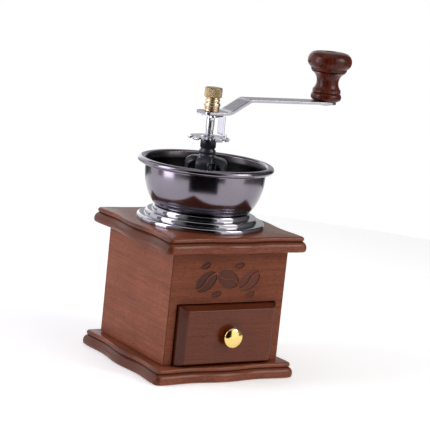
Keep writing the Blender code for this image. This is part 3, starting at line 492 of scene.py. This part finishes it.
def build_screws():
    """The pan heads in the hopper and the countersunk heads under the base."""
    shank = 0.0015
    for number in range(1, 5):
        node = f"bridge_screw_{number}"
        low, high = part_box(node)
        head, seat = (high.x - low.x) / 2, high.z - 0.0020
        outline = arc((0, seat + 0.0005), (head, 0.0015), 90, 0, 8) + [(head - 0.0001, seat), (shank, seat)]
        outline += [(shank, low.z + 0.0025), (0.0, low.z)]
        screw = turned(f"pan_screw_{number}", outline, 40, screw_steel, centre_of(node))
        carve(screw, [cross_recess(centre_of(node), high.z - 0.0002, 0.0010, 0.0016, True)])
        place(screw, "case", node)

        node = f"base_screw_{number}"
        low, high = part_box(node)
        head = (high.x - low.x) / 2
        outline = [(0.0, high.z), (shank, high.z - 0.0027), (shank, low.z + 0.0017), (head, low.z + 0.0001)]
        outline += [(head - 0.0001, low.z), (0.0, low.z)]
        screw = turned(f"countersunk_screw_{number}", outline, 40, screw_steel, centre_of(node))
        carve(screw, [cross_recess(centre_of(node), low.z, 0.0011, 0.0017, False)])
        place(screw, "case", node)


# ---------------------------------------------------------------- wooden case
def build_boards():
    """Both boards: a swelling nose, a groove and a small bead run round their wavy edges."""
    for node, name, hole in (("base_board", "base_moulding", None), ("top_board", "top_moulding", 0.025)):
        low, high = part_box(node)
        thick, half = high.z - low.z, high.x
        nose = [(0.0013, 0.0)] + arc((0.0016, 0.0012), (0.0014, 0.0011), 250, 190, 5)
        nose += arc((0.0034, 0.0023), (0.0034, 0.0046), 180, 108, 12)
        groove = [(0.00285, thick - 0.00345), (0.0032, thick - 0.0033), (0.0031, thick - 0.0030)]
        bead = arc((0.0042, thick - 0.0019), 0.0019, 205, 92, 10)
        rings = []
        for inset, height in nose + groove + bead:
            outline = wavy_square(half - inset, 0.0050 - inset, 0.0020, 0.0012)
            rings.append([(x, y, low.z + height) for x, y in outline])
        if hole:
            for height in (thick, 0.0):
                edge = [hole * Vector(point[:2]).normalized() for point in rings[-1]]
                rings.append([(*point, low.z + height) for point in edge])
        board = soften(plain(name, loft(rings, "joined" if hole else "capped"), wood_x_board), 28)
        if not hole:
            sinks = []
            for number in range(1, 5):
                screw = f"base_screw_{number}"
                face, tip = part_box(screw)
                head = (tip.x - face.x) / 2 + GAP
                sink = [(0.0, 0.0125), (0.0018, 0.0125), (0.0018, face.z + 0.0019), (head, face.z + 0.0002)]
                sink += [(head, -0.001), (0.0, -0.001)]
                sinks.append(plain("sink", lathe(sink, 32, centre_of(screw))))
            carve(board, sinks, angle=28)
        place(board, "case", node)


def halves(half, other, centre, tilt):
    """A half outline and its copy, with the axes times `other`, both tilted and moved to the centre."""
    turn, middle = Matrix.Rotation(math.radians(tilt), 2), Vector(centre)
    return [[tuple(middle + turn @ Vector((a * x, b * y))) for x, y in half] for a, b in ((1, 1), other)]


def bean(centre, tilt):
    """A coffee bean's two halves, either side of its curved crease."""
    length, width, gap = 0.0092, 0.0060, 0.0005
    crease = []
    for i in range(25):
        s = (-0.985 + 1.97 * i / 24) * length
        crease.append((s, 0.0012 * math.sin(math.pi * s / length) + gap))
    return halves(crease + arc((0, 0), (length, width), 10, 170, 32), (-1, -1), centre, tilt)


def leaf(centre, tilt):
    """A pointed leaf's two halves, either side of its vein."""
    length, width, gap = 0.0098, 0.0025, 0.00028
    half = [(-0.44 * length, gap), (0.44 * length, gap)]
    for i in range(17):
        s = 0.44 - 0.88 * i / 16
        half.append((s * length, max(width * math.cos(math.pi * s), gap + 0.00012)))
    return halves(half, (1, -1), centre, tilt)


def lay(mesh, centre=(0.0, 0.0)):
    """Lays a mesh down: its height becomes -Y, and its upright axis goes through centre (x, z)."""
    mesh.transform(Matrix(((1, 0, 0, centre[0]), (0, 0, -1, 0), (0, 1, 0, centre[1]), (0, 0, 0, 1))))
    return mesh


def build_front_panel():
    """The case's front, with the drawer's opening and a burnt-in row of coffee beans and leaves."""
    low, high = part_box("front_panel")
    _, drawer_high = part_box("drawer_front")
    outer, inner = high.x, high.x - (high.y - low.y)
    plan = [(-outer, low.y), (outer, low.y), (inner, high.y), (-inner, high.y)]
    panel = plain("front_board", prism(plan, low.z, high.z), wood_x)
    side, top = drawer_high.x + 0.0008, drawer_high.z + 0.0008
    carve(panel, [plain("opening", prism([(-side, -0.1), (side, -0.1), (side, 0), (-side, 0)], -0.01, top))])
    settle(ease_edges(panel, 0.0004, 3))
    shapes = bean((-0.0182, 0.0688), 38) + bean((-0.0010, 0.0702), -24) + bean((0.0164, 0.0688), 38)
    shapes += leaf((-0.0094, 0.0597), 14) + leaf((0.0072, 0.0797), 14)
    shapes += leaf((-0.0196, 0.0800), 24) + leaf((0.0178, 0.0590), 24)
    bm = bmesh.new()
    for shape in shapes:
        prism(shape, -low.y - 0.00045, -low.y + 0.001, bm)
    carve(panel, [plain("motif", lay(bm))])
    panel.data.materials.append(wood_burnt)
    for face in panel.data.polygons:
        middle = face.center
        sunk = low.y + 0.00002 < middle.y < low.y + 0.0008 and abs(middle.x) < 0.04
        if sunk and top + 0.001 < middle.z < high.z - 0.001:
            face.material_index = 1
    panel.modifiers.new("Normals", "WEIGHTED_NORMAL").keep_sharp = True
    place(panel, "case", "front_panel")


def build_drawer_knob():
    """The drawer's domed knob and the pan-head screw that holds it from inside."""
    low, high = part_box("drawer_knob")
    radius, base, crown = (high.x - low.x) / 2, -high.y, -low.y
    centre = ((low.x + high.x) / 2, (low.z + high.z) / 2)
    rim, bore = base + 0.0042, 0.0020
    outline = arc((0, rim), (radius, crown - rim), 90, 0, 16)
    outline += arc((radius - 0.0006, rim), 0.0006, 0, -70, 4)[1:]
    waist = [(0.0060, rim - 0.0007), (0.0035, base + 0.0024), (0.0029, base + 0.0014)]
    outline += eased(waist + [(0.0042, base + 0.0004)], 0.001)
    outline += [(0.0042, base), (bore, base), (bore, base + 0.0045), (0.0, base + 0.0045)]
    knob = soften(plain("brass_knob", lay(lathe(outline, 64), centre), bright_brass))
    place(knob, "drawer", "drawer_knob")

    low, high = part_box("drawer_knob_screw")
    shank, head = 0.0017, (high.x - low.x) / 2
    tip, seat, face = -low.y, -high.y + 0.0022, -high.y
    outline = [(0.0, tip), (shank, tip), (shank, seat), (head, seat)]
    outline += arc((head - 0.0012, seat - 0.0010), 0.0012, 0, -90, 5) + [(0.0, face)]
    screw = plain("knob_screw", lathe(outline, 40), screw_steel)
    carve(screw, [cross_recess((0, 0), face, 0.0012, 0.0019, False)])
    lay(screw.data, centre)
    place(soften(screw), "drawer", "drawer_knob_screw")


# ---------------------------------------------------------------- hopper
def build_hopper():
    """The pressed stepped ring and the spun bowl with its rolled rim."""
    low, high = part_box("stepped_ring")
    sheet, rounding, radius = 0.0008, 0.0016, high.x
    step = (high.z - low.z) / 3
    line = [(THROAT_RADIUS, high.z - sheet / 2)]
    for number, reach in enumerate((radius - 0.0105, radius - 0.0055, radius)):
        crown = high.z - number * step - sheet / 2
        outside = reach - sheet / 2
        line += arc((outside - rounding, crown - rounding), rounding, 90, 0, 8)
        if number < 2:
            line += arc((outside + 0.0006, crown - step + 0.0006), 0.0006, 180, 270, 3)
        else:
            line.append((outside, low.z))
    outline = sheet_outline(line, sheet)
    place(turned("stepped_base_ring", outline, 128, chrome, closed=True), "case", "stepped_ring")

    low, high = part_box("hopper_bowl")
    rim, belly_radius = high.x, 0.0422
    width = rim - belly_radius
    crest = (belly_radius + width / 2, high.z - width / 2 * 0.8)
    lip = arc(crest, (width / 2 - sheet / 2, width / 2 * 0.8 - sheet / 2), -62, 158, 26)
    centre_height, depth, focus = crest[1] - 0.0045, 0.0300, 0.025
    floor = low.z + sheet / 2
    end = -math.degrees(math.asin((centre_height - floor - 0.0004) / depth))
    belly = arc((focus, centre_height), (belly_radius - focus - sheet / 2, depth), 4, end, 26)
    foot = eased([belly[-1], (0.0311, floor), (THROAT_RADIUS, floor)], 0.0008, 4)
    outline = sheet_outline(lip + belly + foot[1:], sheet)
    bowl = turned("bowl_spun", outline, 144, black_chrome, closed=True)
    place(bowl, "case", "hopper_bowl")
    # painted shade: faces inside the bowl and on its floor take the darker copy of the black chrome
    bowl.data.materials.append(black_chrome_painted_shade)
    for face in bowl.data.polygons:
        middle = face.center
        inwards = -face.normal.xy.dot(middle.xy.normalized())
        on_the_floor = face.normal.z > 0.6 and middle.z < floor + 0.006
        if middle.z < crest[1] + 0.0006 and (inwards > 0.15 or on_the_floor):
            face.material_index = 1


def build_bridge():
    """The moulded bridge: the spindle's neck on four arms that bend down to the flange."""
    low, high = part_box("burr_bridge")
    top, flange_top, reach = high.z, low.z + 0.0020, high.x
    bell_top, bell, neck, seat = top - 0.0117, 0.0149, 0.0055, 0.0043
    feed, hub_foot = 0.0185, bell_top - 0.0085
    outline = [(seat, top - 0.0003), (seat + 0.0003, top), (neck - 0.0003, top), (neck, top - 0.0003)]
    outline += [(neck, top - 0.0052), (neck - 0.0006, top - 0.0058), (neck - 0.0006, top - 0.0064)]
    outline += [(neck + 0.0003, top - 0.0074), (neck + 0.0003, top - 0.0092), (neck - 0.0004, top - 0.0099)]
    outline += [(neck - 0.0003, bell_top + 0.0012), (neck + 0.0004, bell_top + 0.0002)]
    outline += arc((bell - 0.0050, bell_top - 0.0052), 0.0050, 82, 0, 14)
    outline += [(bell, flange_top + 0.0016), (bell + 0.0016, flange_top + 0.0004)]
    outline += [(feed + 0.0030, flange_top), (reach - 0.0004, flange_top), (reach, flange_top - 0.0004)]
    outline += [(reach, low.z + 0.0002), (reach - 0.0002, low.z), (feed, low.z)]
    outline += [(bell - 0.0027, flange_top + 0.0010), (bell - 0.0027, bell_top - 0.0070)]
    outline += [(bell - 0.0057, bell_top - 0.0040), (0.0064, bell_top - 0.0040)]
    outline += [(0.0060, hub_foot), (seat, hub_foot)]
    bridge = turned("bridge_moulding", outline, 120, black_plastic, closed=True)
    # between the arms, everything outside the hub is open from the sill up
    near, far, offset = 0.0070, 0.0220, ARM_HALF * math.sqrt(2)
    window = [(near, offset - near), (far, offset - far), (far, far - offset), (near, near - offset)]
    cutters = []
    for turn in QUARTER_TURNS:
        outline = [tuple(turn @ Vector(point)) for point in eased(window, 0.0012, 4, closed=True)]
        cutters.append(plain("window", prism(outline, flange_top + 0.0016, bell_top + 0.0010)))
    for number in range(1, 5):
        hole = [(0, 0.1), (0.0018, 0.1), (0.0018, 0.12), (0, 0.12)]
        cutters.append(plain("hole", lathe(hole, 32, centre_of(f"bridge_screw_{number}"))))
    carve(bridge, cutters)
    ease_edges(bridge, 0.0003, 2, 50)
    place(settle(bridge), "case", "burr_bridge")


# ---------------------------------------------------------------- spindle, wheel and spring
def build_spindle():
    """The spindle, with the thread that the adjusting wheel runs on and the flats at both ends."""
    low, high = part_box("spindle")
    wheel_low, wheel_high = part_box("adjusting_wheel")
    _, bracket_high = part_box("lock_bracket")
    burr_low, burr_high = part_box("inner_burr")
    radius, flat, pitch, depth, around = (high.x - low.x) / 2, 0.0022, 0.0008, 0.00032, 48
    thread = (wheel_low.z - 0.0010, wheel_high.z + 0.0050)
    lower_flats, upper_flats = burr_high.z + GAP, bracket_high.z - 0.0040
    heights = [low.z, low.z + 0.0005, burr_low.z, lower_flats, lower_flats + 0.0003, thread[0] - 0.0006]
    count = round((thread[1] - thread[0]) / pitch * 8)
    heights += [thread[0] + (thread[1] - thread[0]) * i / count for i in range(count + 1)]
    heights += [thread[1] + 0.0006, upper_flats - 0.0003, upper_flats, high.z - 0.0005, high.z]
    rings = []
    for height in heights:
        ring = []
        for i in range(around):
            angle = TAU * i / around
            r = radius - (0.0005 if height in (low.z, high.z) else 0.0)
            if thread[0] <= height <= thread[1]:
                phase = (height / pitch - i / around) % 1.0
                fade = min(1.0, (height - thread[0]) / pitch, (thread[1] - height) / pitch)
                r -= depth * abs(2 * phase - 1) * max(fade, 0.0)
            x, y = r * math.cos(angle), r * math.sin(angle)
            if height <= lower_flats + 1e-6 or height >= upper_flats - 1e-6:
                y = max(-flat, min(flat, y))
            ring.append((x, y, height))
        rings.append(ring)
    spindle = soften(plain("threaded_spindle", loft(rings), screw_steel), 40)
    place(spindle, "spindle", "spindle")


def build_spring():
    """The burr spring, which the spindle's rise shortens against the bridge's hub."""
    low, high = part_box("burr_spring")
    wire, turns, per_turn, sides = 0.0005, 7, 40, 12
    mean = (high.x - low.x) / 2 - wire
    floor, ceiling = low.z + wire, high.z - wire
    closed_pitch = 2.3 * wire
    rise = (ceiling - floor - 2 * closed_pitch) / (turns - 2)
    rings = []
    for i in range(turns * per_turn + 1):
        wound = i / per_turn
        opened = min(max(wound - 1, 0.0), turns - 2)
        height = floor + opened * rise + (wound - opened) * closed_pitch
        angle = TAU * wound
        ring = []
        for k in range(sides):
            r, up = mean + wire * math.cos(TAU * k / sides), wire * math.sin(TAU * k / sides)
            ring.append((r * math.cos(angle), r * math.sin(angle), height + up))
        rings.append(ring)
    spring = soften(plain("coil_spring", loft(rings), screw_steel), 60)
    place(spring, "spindle", "burr_spring")
    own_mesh(spring)


def build_wheel():
    """The adjusting wheel: a stamped disc with ten notches, whose lobes turn down at their tips."""
    low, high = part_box("adjusting_wheel")
    radius, notches, bore = max(high.x, high.y), 10, 0.0032
    floor = high.z - WHEEL_DROP - WHEEL_SHEET
    notch_floor, drop_start, count = 0.0115, 0.0122, 400
    notch_half = math.pi / notches * 0.36
    shares = [0.0, 0.35, 0.70, 0.80, 0.84, 0.88, 0.92, 0.95, 0.98, 1.0]
    rings = []
    for share in shares:
        ring = []
        for i in range(count):
            angle = TAU * i / count
            nearest = round(angle / TAU * notches) * TAU / notches
            beyond = (abs(angle - nearest) - notch_half) / 0.035
            lobe = min(max(beyond + 0.5, 0.0), 1.0)
            lobe = lobe * lobe * (3 - 2 * lobe)
            reach = bore + (notch_floor + (radius - notch_floor) * lobe - bore) * share
            drop = max(0.0, (reach - drop_start) / (radius - drop_start)) ** 1.6 * WHEEL_DROP
            height = floor + WHEEL_SHEET / 2 - drop
            ring.append((reach * math.cos(angle), reach * math.sin(angle), height))
        rings.append(ring)
    wheel = plain("notched_wheel", loft(rings, "open"), zinc)
    shell = wheel.modifiers.new("Sheet", "SOLIDIFY")
    shell.thickness, shell.offset = WHEEL_SHEET, 0.0
    settle(ease_edges(settle(wheel), 0.00018, 2, 60))
    boss = [(bore, high.z), (0.0042, high.z), (0.0045, high.z - 0.0002), (0.0050, floor + 0.0006)]
    boss += [(0.0050, low.z + 0.0002), (0.0048, low.z), (bore, low.z)]
    carve(wheel, [plain("boss", lathe(boss, 64, closed=True))], "UNION")
    place(wheel, "wheel", "adjusting_wheel")


# ---------------------------------------------------------------- folded sheet metal
def advance(x, z, heading, run, bend):
    """Where a run ends that turns by that bend, in radians."""
    if not bend:
        return x + run * math.cos(heading), z + run * math.sin(heading)
    radius, end = run / bend, heading + bend
    return x + radius * (math.sin(end) - math.sin(heading)), z - radius * (math.cos(end) - math.cos(heading))


def fold_path(segments, start):
    """path(length) -> (x, z) along straight runs and bends. A segment is (length, degrees turned over it)."""
    steps, heading, at = [], 0.0, 0.0
    x, z = start
    for length, degrees in segments:
        bend = math.radians(degrees)
        steps.append((at, x, z, heading, length, bend))
        x, z = advance(x, z, heading, length, bend)
        heading += bend
        at += length

    def path(length):
        begin, x, z, heading, run, bend = ([s for s in steps if s[0] <= length] or steps[:1])[-1]
        return advance(x, z, heading, length - begin, bend * (length - begin) / run)

    return path


def strip(name, stations, path, thickness, material, edge):
    """A folded strip: at each station of (length, half width) it lies across the path."""
    across = 12
    bm = bmesh.new()
    rows = []
    for length, half in stations:
        x, z = path(length)
        rows.append([bm.verts.new((x, half * (2 * k / across - 1), z)) for k in range(across + 1)])
    skin(bm, rows, closed=False)
    obj = plain(name, bm, material)
    shell = obj.modifiers.new("Sheet", "SOLIDIFY")
    shell.thickness, shell.offset, shell.use_even_offset = thickness, 0.0, True
    settle(obj)
    return settle(ease_edges(obj, edge, 3, 50), 40)


def spaced(start, end, step):
    """Evenly spaced lengths from the start up to, but without, the end."""
    count = max(2, round((end - start) / step))
    return [start + (end - start) * i / count for i in range(count)]


def build_lock_bracket():
    """The stamped bracket that holds the adjusting wheel: a plate, a leg and a tooth."""
    low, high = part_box("lock_bracket")
    _, wheel_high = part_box("adjusting_wheel")
    sheet, back, half, corner = 0.0012, -low.x, high.y, 0.0025
    leg_x, leg_half, bend = 0.0092, 0.0039, 0.0018
    middle = high.z - sheet / 2
    tooth_x = wheel_high.x - 0.0013
    bend_radius = bend / math.radians(90)
    drop = middle - (wheel_high.z - WHEEL_DROP + 0.0016)
    foot = tooth_x - leg_x - 2 * bend_radius
    runs = [back + leg_x - bend_radius, bend, drop - 2 * bend_radius, bend, foot, bend, 0.0026]
    segments = list(zip(runs, (0, -90, 0, 90, 0, -90, 0)))
    path = fold_path(segments, (-back, middle))
    neck, tooth = runs[0] - 0.0004, sum(runs[:4]) + 0.4 * foot

    rounded = [(corner - x, half - corner + y) for x, y in arc((0, 0), corner, 4, 90, 8)]
    stations = [(0.0, half - corner)] + rounded + [(corner + 0.0011, half - 0.00025)]
    slope_start = stations[-1]
    for length in spaced(slope_start[0], neck, 0.0008)[1:]:
        share = (length - slope_start[0]) / (neck - slope_start[0])
        stations.append((length, slope_start[1] + (leg_half - slope_start[1]) * share))
    total = sum(runs)
    at = runs[0]
    lengths = [neck]
    for run, (_, degrees) in zip(runs[1:], segments[1:]):
        lengths += spaced(at, at + run, 0.00025 if degrees else 0.0012)
        at += run
    lengths.append(total)
    for length in lengths:
        narrow = min(max((length - tooth) / 0.0005, 0.0), 1.0)
        stations.append((length, leg_half + (0.0013 - leg_half) * narrow))
    stations = sorted({round(length, 6): width for length, width in stations}.items())
    bracket = strip("lock_bracket_plate", stations, path, sheet, zinc, 0.00022)
    place(bracket, "spindle", "lock_bracket")


def build_crank():
    """The flat steel crank, cranked up beside its hub and rounded at its tip."""
    low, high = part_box("crank_arm")
    sheet, half, tip = 0.0018, 0.0081, 0.0078
    hub, corner = -low.x, 0.0030
    run, rise, start = 0.0159, (high.z - low.z) - sheet, 0.0112
    slope = math.atan2(rise, run)
    radii = (0.0120, 0.0060)  # of the bend up and the bend back
    lower, upper = (radius * math.tan(slope / 2) for radius in radii)
    flat = hub + start - lower
    incline = math.hypot(run, rise) - lower - upper
    arm = high.x - (start + run) - upper
    runs = [flat, radii[0] * slope, incline, radii[1] * slope, arm]
    degrees = math.degrees(slope)
    path = fold_path(list(zip(runs, (0, degrees, 0, -degrees, 0))), (-hub, low.z + sheet / 2))
    total = sum(runs)
    rounded = [(corner - x, half - corner + y) for x, y in arc((0, 0), corner, 4, 90, 8)]
    stations = [(0.0, half - corner)] + rounded
    edges = [corner] + [sum(runs[: i + 1]) for i in range(4)] + [total - tip]
    for begin, end, step in zip(edges, edges[1:], (0.002, 0.0005, 0.002, 0.0004, 0.004)):
        for length in spaced(begin, end, step)[1 if begin == corner else 0 :]:
            narrow = min(max((length - (total - TAPER_START)) / (TAPER_START - tip), 0.0), 1.0)
            stations.append((length, half + (tip - half) * narrow))
    stations += [(total - tip + x, y) for x, y in arc((0, 0), tip, 90, 4, 26)]
    stations.append((total, tip * math.sin(math.radians(3))))
    crank = strip("crank_strip", stations, path, sheet, steel, 0.00035)
    place(crank, "spindle", "crank_arm")


# ---------------------------------------------------------------- cap nut, pin and knob
def build_cap_nut():
    """The brass nut: a knurled head over a waisted, ringed foot."""
    low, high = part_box("cap_nut")
    radius, foot, top = max(high.x, high.y), low.z, high.z
    head_height, ridges, depth = 0.0069, 40, 0.00026
    knurl_foot = top - head_height

    def knurl(r, angle, height):
        if not knurl_foot + 0.0006 < height < top - 0.0006 or r < radius - 0.0001:
            return r
        lead = (height - knurl_foot) / 0.0009
        cuts = [abs(2 * ((angle / TAU * ridges + sign * lead) % 1.0) - 1) for sign in (0.5, -0.5)]
        return r - depth * (1 - min(cuts))

    head = [(0.0, top), (0.0030, top)]
    head += arc((radius - 0.0009, top - 0.0007), (0.0009, 0.0007), 90, 12, 5)
    rows = 34
    head += [(radius, top - 0.0007 - (head_height - 0.0012) * i / rows) for i in range(rows + 1)]
    neck = [(radius - 0.0004, knurl_foot + 0.0002), (radius - 0.0012, knurl_foot - 0.0003)]
    neck += arc((radius - 0.0022, knurl_foot - 0.0020), (0.0012, 0.0013), 72, -72, 8)
    neck += [(radius - 0.0017, knurl_foot - 0.0036)]
    neck += arc((radius - 0.0014, foot + 0.0042), (0.0009, 0.0016), 80, -75, 8)
    # in from the radius and up from the foot, in tenths of a millimetre
    beads = ((12, 24), (7, 21), (8, 17), (15, 13), (11, 10), (10, 2), (12, 0))
    neck += [(radius - 0.0001 * inset, foot + 0.0001 * up) for inset, up in beads]
    bore = [(0.0032, foot), (0.0032, foot + 0.0098), (0.0, foot + 0.0098)]
    nut = turned("knurled_nut", head + neck + bore, 240, brass, shape=knurl)
    place(nut, "spindle", "cap_nut")
    nut.data.materials.append(turned_brass)
    for face in nut.data.polygons:
        if face.center.z < knurl_foot:
            face.material_index = 1


def build_knob():
    """The turned knob, with a hole in its top where the pin's head sits."""
    low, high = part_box("crank_knob")
    centre = centre_of("crank_knob")
    radius, foot, top = (high.x - low.x) / 2, low.z, high.z
    bulb = foot + 0.0288
    mouth, mouth_floor, bore = 0.0039, top - 0.0056, 0.0027
    outline = [(mouth, top - 0.0005)] + arc((mouth + 0.0005, top - 0.0005), 0.0005, 180, 90, 4)[1:]
    outline += [(0.0080, top - 0.00005), (0.0105, top - 0.0003)]
    outline += arc((0.0100, bulb), (radius - 0.0100, top - 0.0004 - bulb), 78, 0, 16)
    outline += arc((0.0100, bulb), (radius - 0.0100, 0.0060), -6, -58, 10)
    bead = [(0.0129, foot + 0.0227), (0.0128, foot + 0.0217), (0.0116, foot + 0.0212)]
    outline += eased(bead + [(0.0106, foot + 0.0207)], 0.0005)
    outline += arc((0.0150, foot + 0.0138), (0.0071, 0.0076), 112, 228, 22)
    outline += eased([(0.0100, foot + 0.0074), (0.0104, foot + 0.0066), (0.0101, foot + 0.0061)], 0.0004)
    outline += arc((0.0088, foot + 0.0031), (0.0023, 0.0029), 80, -78, 14)
    outline += [(0.0088, foot), (bore, foot), (bore, mouth_floor), (mouth, mouth_floor)]
    knob = turned("turned_knob", outline, 112, wood_knob, centre, closed=True)
    place(knob, "knob", "crank_knob")

    low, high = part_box("knob_pin")
    head, rivet = 0.0036, (high.x - low.x) / 2
    head_floor, arm_floor = high.z - 0.0018, low.z + 0.0014
    outline = arc((0.0, head_floor + 0.0006), (head, 0.0012), 90, 0, 8)
    outline += [(head, head_floor), (0.0023, head_floor), (0.0023, arm_floor), (rivet, arm_floor)]
    outline += arc((0.0, arm_floor - 0.0003), (rivet, 0.0011), 0, -90, 8)
    pin = turned("pin_screw", outline, 48, screw_steel, centre)
    carve(pin, [cross_recess(centre, high.z - 0.0002, 0.0009, 0.0020, True)])
    place(pin, "spindle", "knob_pin")


build_screws()
build_boards()
build_front_panel()
build_drawer_knob()
build_hopper()
build_bridge()
build_spindle()
build_spring()
build_wheel()
build_lock_bracket()
build_crank()
build_cap_nut()
build_knob()


# ---------------------------------------------------------------- CAD nodes that stay
KEPT = {
    wood_x: ["rear_wall"],
    wood_y: ["left_wall", "right_wall", "drawer_left_side", "drawer_right_side"],
    wood_drawer: ["drawer_front", "drawer_back"],
    wood_raw: ["drawer_bottom"],
    screw_steel: ["spring_washer", "burr_washer", "burr_nut"],
    brass: ["neck_bush"],
    black_plastic: ["burr_cup"],
    cast_iron: ["outer_burr", "inner_burr"],
}
for material, nodes in KEPT.items():
    for node in nodes:
        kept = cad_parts[node]
        kept.data.materials.clear()
        kept.data.materials.append(material)
        ease_edges(kept, 0.0004 if "walnut" in material.name else 0.00015, 3, weld=True)


# ---------------------------------------------------------------- floor, light and camera
CAMERA_AZIMUTH, CAMERA_ELEVATION, CAMERA_ROLL = -32.086, 10.272, 6.014
CAMERA_DISTANCE, CAMERA_LENS = 1.24258, 148.23
CAMERA_SHIFT = (0.010511, 0.005191)  # to its right and up
WORLD_STRENGTH = 0.34
FLOOR_RADIUS, FLOOR_NEAR = 0.62, 0.25  # all round, and towards the camera


def direction(azimuth, elevation):
    """Towards an azimuth in degrees, 0 in front, on -Y, and 90 on +X, and an elevation."""
    a, e = math.radians(azimuth), math.radians(elevation)
    return Vector((math.sin(a) * math.cos(e), -math.cos(a) * math.cos(e), math.sin(e)))


def build_camera():
    """A long lens, rolled a little, that looks at the grinder's front and left side from just above."""
    azimuth, roll = math.radians(CAMERA_AZIMUTH), math.radians(CAMERA_ROLL)
    back = direction(CAMERA_AZIMUTH, CAMERA_ELEVATION)
    level = Vector((math.cos(azimuth), math.sin(azimuth), 0.0))
    rise = back.cross(level)
    right = math.cos(roll) * level + math.sin(roll) * rise
    up = -math.sin(roll) * level + math.cos(roll) * rise
    data = bpy.data.cameras.new("camera")
    data.lens, data.sensor_width = CAMERA_LENS, 36.0
    data.clip_start, data.clip_end = 0.01, 100
    camera = stand("camera", data)
    shift = right * CAMERA_SHIFT[0] + up * CAMERA_SHIFT[1]
    camera.location = back * CAMERA_DISTANCE + Vector((0, 0, 0.1)) + shift
    camera.rotation_euler = Matrix((right, up, back)).transposed().to_euler()
    bpy.context.scene.camera = camera


def area_light(name, azimuth, elevation, distance, size, power, colour):
    """A soft box in that direction that looks at the middle of the grinder."""
    data = bpy.data.lights.new(name, "AREA")
    data.shape = "RECTANGLE"
    data.size, data.size_y = size
    data.energy, data.color = power, colour
    light = stand(name, data)
    back = direction(azimuth, elevation)
    light.location = Vector((0, 0, 0.11)) + back * distance
    light.rotation_mode = "QUATERNION"
    light.rotation_quaternion = (-back).to_track_quat("-Z", "Y")


# The brightness around at azimuths from -180 to 180 degrees: dark in front and in two narrow bands behind.
SURROUNDINGS = (
    (-180, 0.10), (-168, 0.55), (-140, 0.60), (-125, 0.80), (-110, 1.15), (-88, 1.15), (-74, 0.95),
    (-58, 0.02), (-5, 0.02), (12, 1.0), (45, 0.95), (70, 0.55), (95, 0.40), (107, 0.30), (113, 0.10),
    (120, 0.10), (126, 1.5), (168, 1.5), (176, 0.10), (180, 0.10),
)


def build_world():
    """Pale surroundings whose brightness goes round with the azimuth, for polished metal to mirror."""
    world = bpy.data.worlds.new("studio")
    bpy.context.scene.world = world
    world.use_nodes = True
    sky = Graph(world.node_tree)
    sky.tree.nodes.clear()
    around = sky.node("TexCoord").outputs["Generated"]
    axes = sky.node("SeparateXYZ", {0: around}).outputs
    azimuth = sky.math("ARCTAN2", axes["X"], sky.math("MULTIPLY", axes["Y"], -1.0))
    whole = {"Value": azimuth, "From Min": -math.pi, "From Max": math.pi}
    share = sky.node("MapRange", whole).outputs["Result"]
    glow = sky.ramp(share, *((angle / 360 + 0.5, grey) for angle, grey in SURROUNDINGS))
    lit = sky.node("Background", {"Color": glow, "Strength": WORLD_STRENGTH}).outputs[0]
    seen = sky.node("Background", {"Color": (1, 1, 1, 1)}).outputs[0]
    from_camera = sky.node("LightPath").outputs["Is Camera Ray"]
    joined = sky.node("MixShader", {0: from_camera, 1: lit, 2: seen}).outputs[0]
    sky.node("OutputWorld", {"Surface": joined})


def build_floor():
    """A pale round floor, cut short towards the camera, so that polished metal mirrors the dark there."""
    outline = arc((0, 0), FLOOR_RADIUS, -63, 243, 96) + arc((0, 0), FLOOR_NEAR, 243, 297, 16)
    bm = bmesh.new()
    bm.faces.new([bm.verts.new((x, y, -0.0002)) for x, y in outline])
    turn = Matrix.Rotation(math.radians(-32.0), 3, "Z")
    bmesh.ops.rotate(bm, cent=(0, 0, 0), matrix=turn, verts=bm.verts)
    floor = plain("floor", bm)
    white = Finish("floor", (0.92, 0.92, 0.92), 0.9)
    cloud = white.noise(6, 2.0, 0.5)
    white.set(Base_Color=white.mix(cloud, (0.91, 0.91, 0.91), (0.94, 0.94, 0.94)))
    white.set(Emission_Color=(1.0, 1.0, 1.0, 1.0), Emission_Strength=0.38)
    floor.data.materials.append(white.material)


def build_studio():
    build_camera()
    build_world()
    build_floor()
    bpy.context.scene.view_settings.view_transform = "Standard"
    area_light("top_light", -20, 80, 1.1, (1.0, 1.0), 1.6, (1.0, 0.99, 1.0))
    area_light("front_key", 40, 34, 1.0, (0.4, 0.4), 2.9, (1.0, 0.98, 0.96))
    area_light("left_light", -103, 14, 1.0, (0.42, 1.2), 7.4, (0.93, 0.91, 1.0))
    area_light("left_rear_light", -142, 14, 1.0, (0.5, 1.2), 1.9, (0.95, 0.93, 1.0))
    area_light("right_light", 28, 14, 1.0, (0.8, 1.2), 2.9, (1.0, 0.97, 0.96))
    area_light("back_light", 178, 16, 1.1, (0.9, 0.7), 2.3, (0.97, 0.97, 1.0))


build_studio()
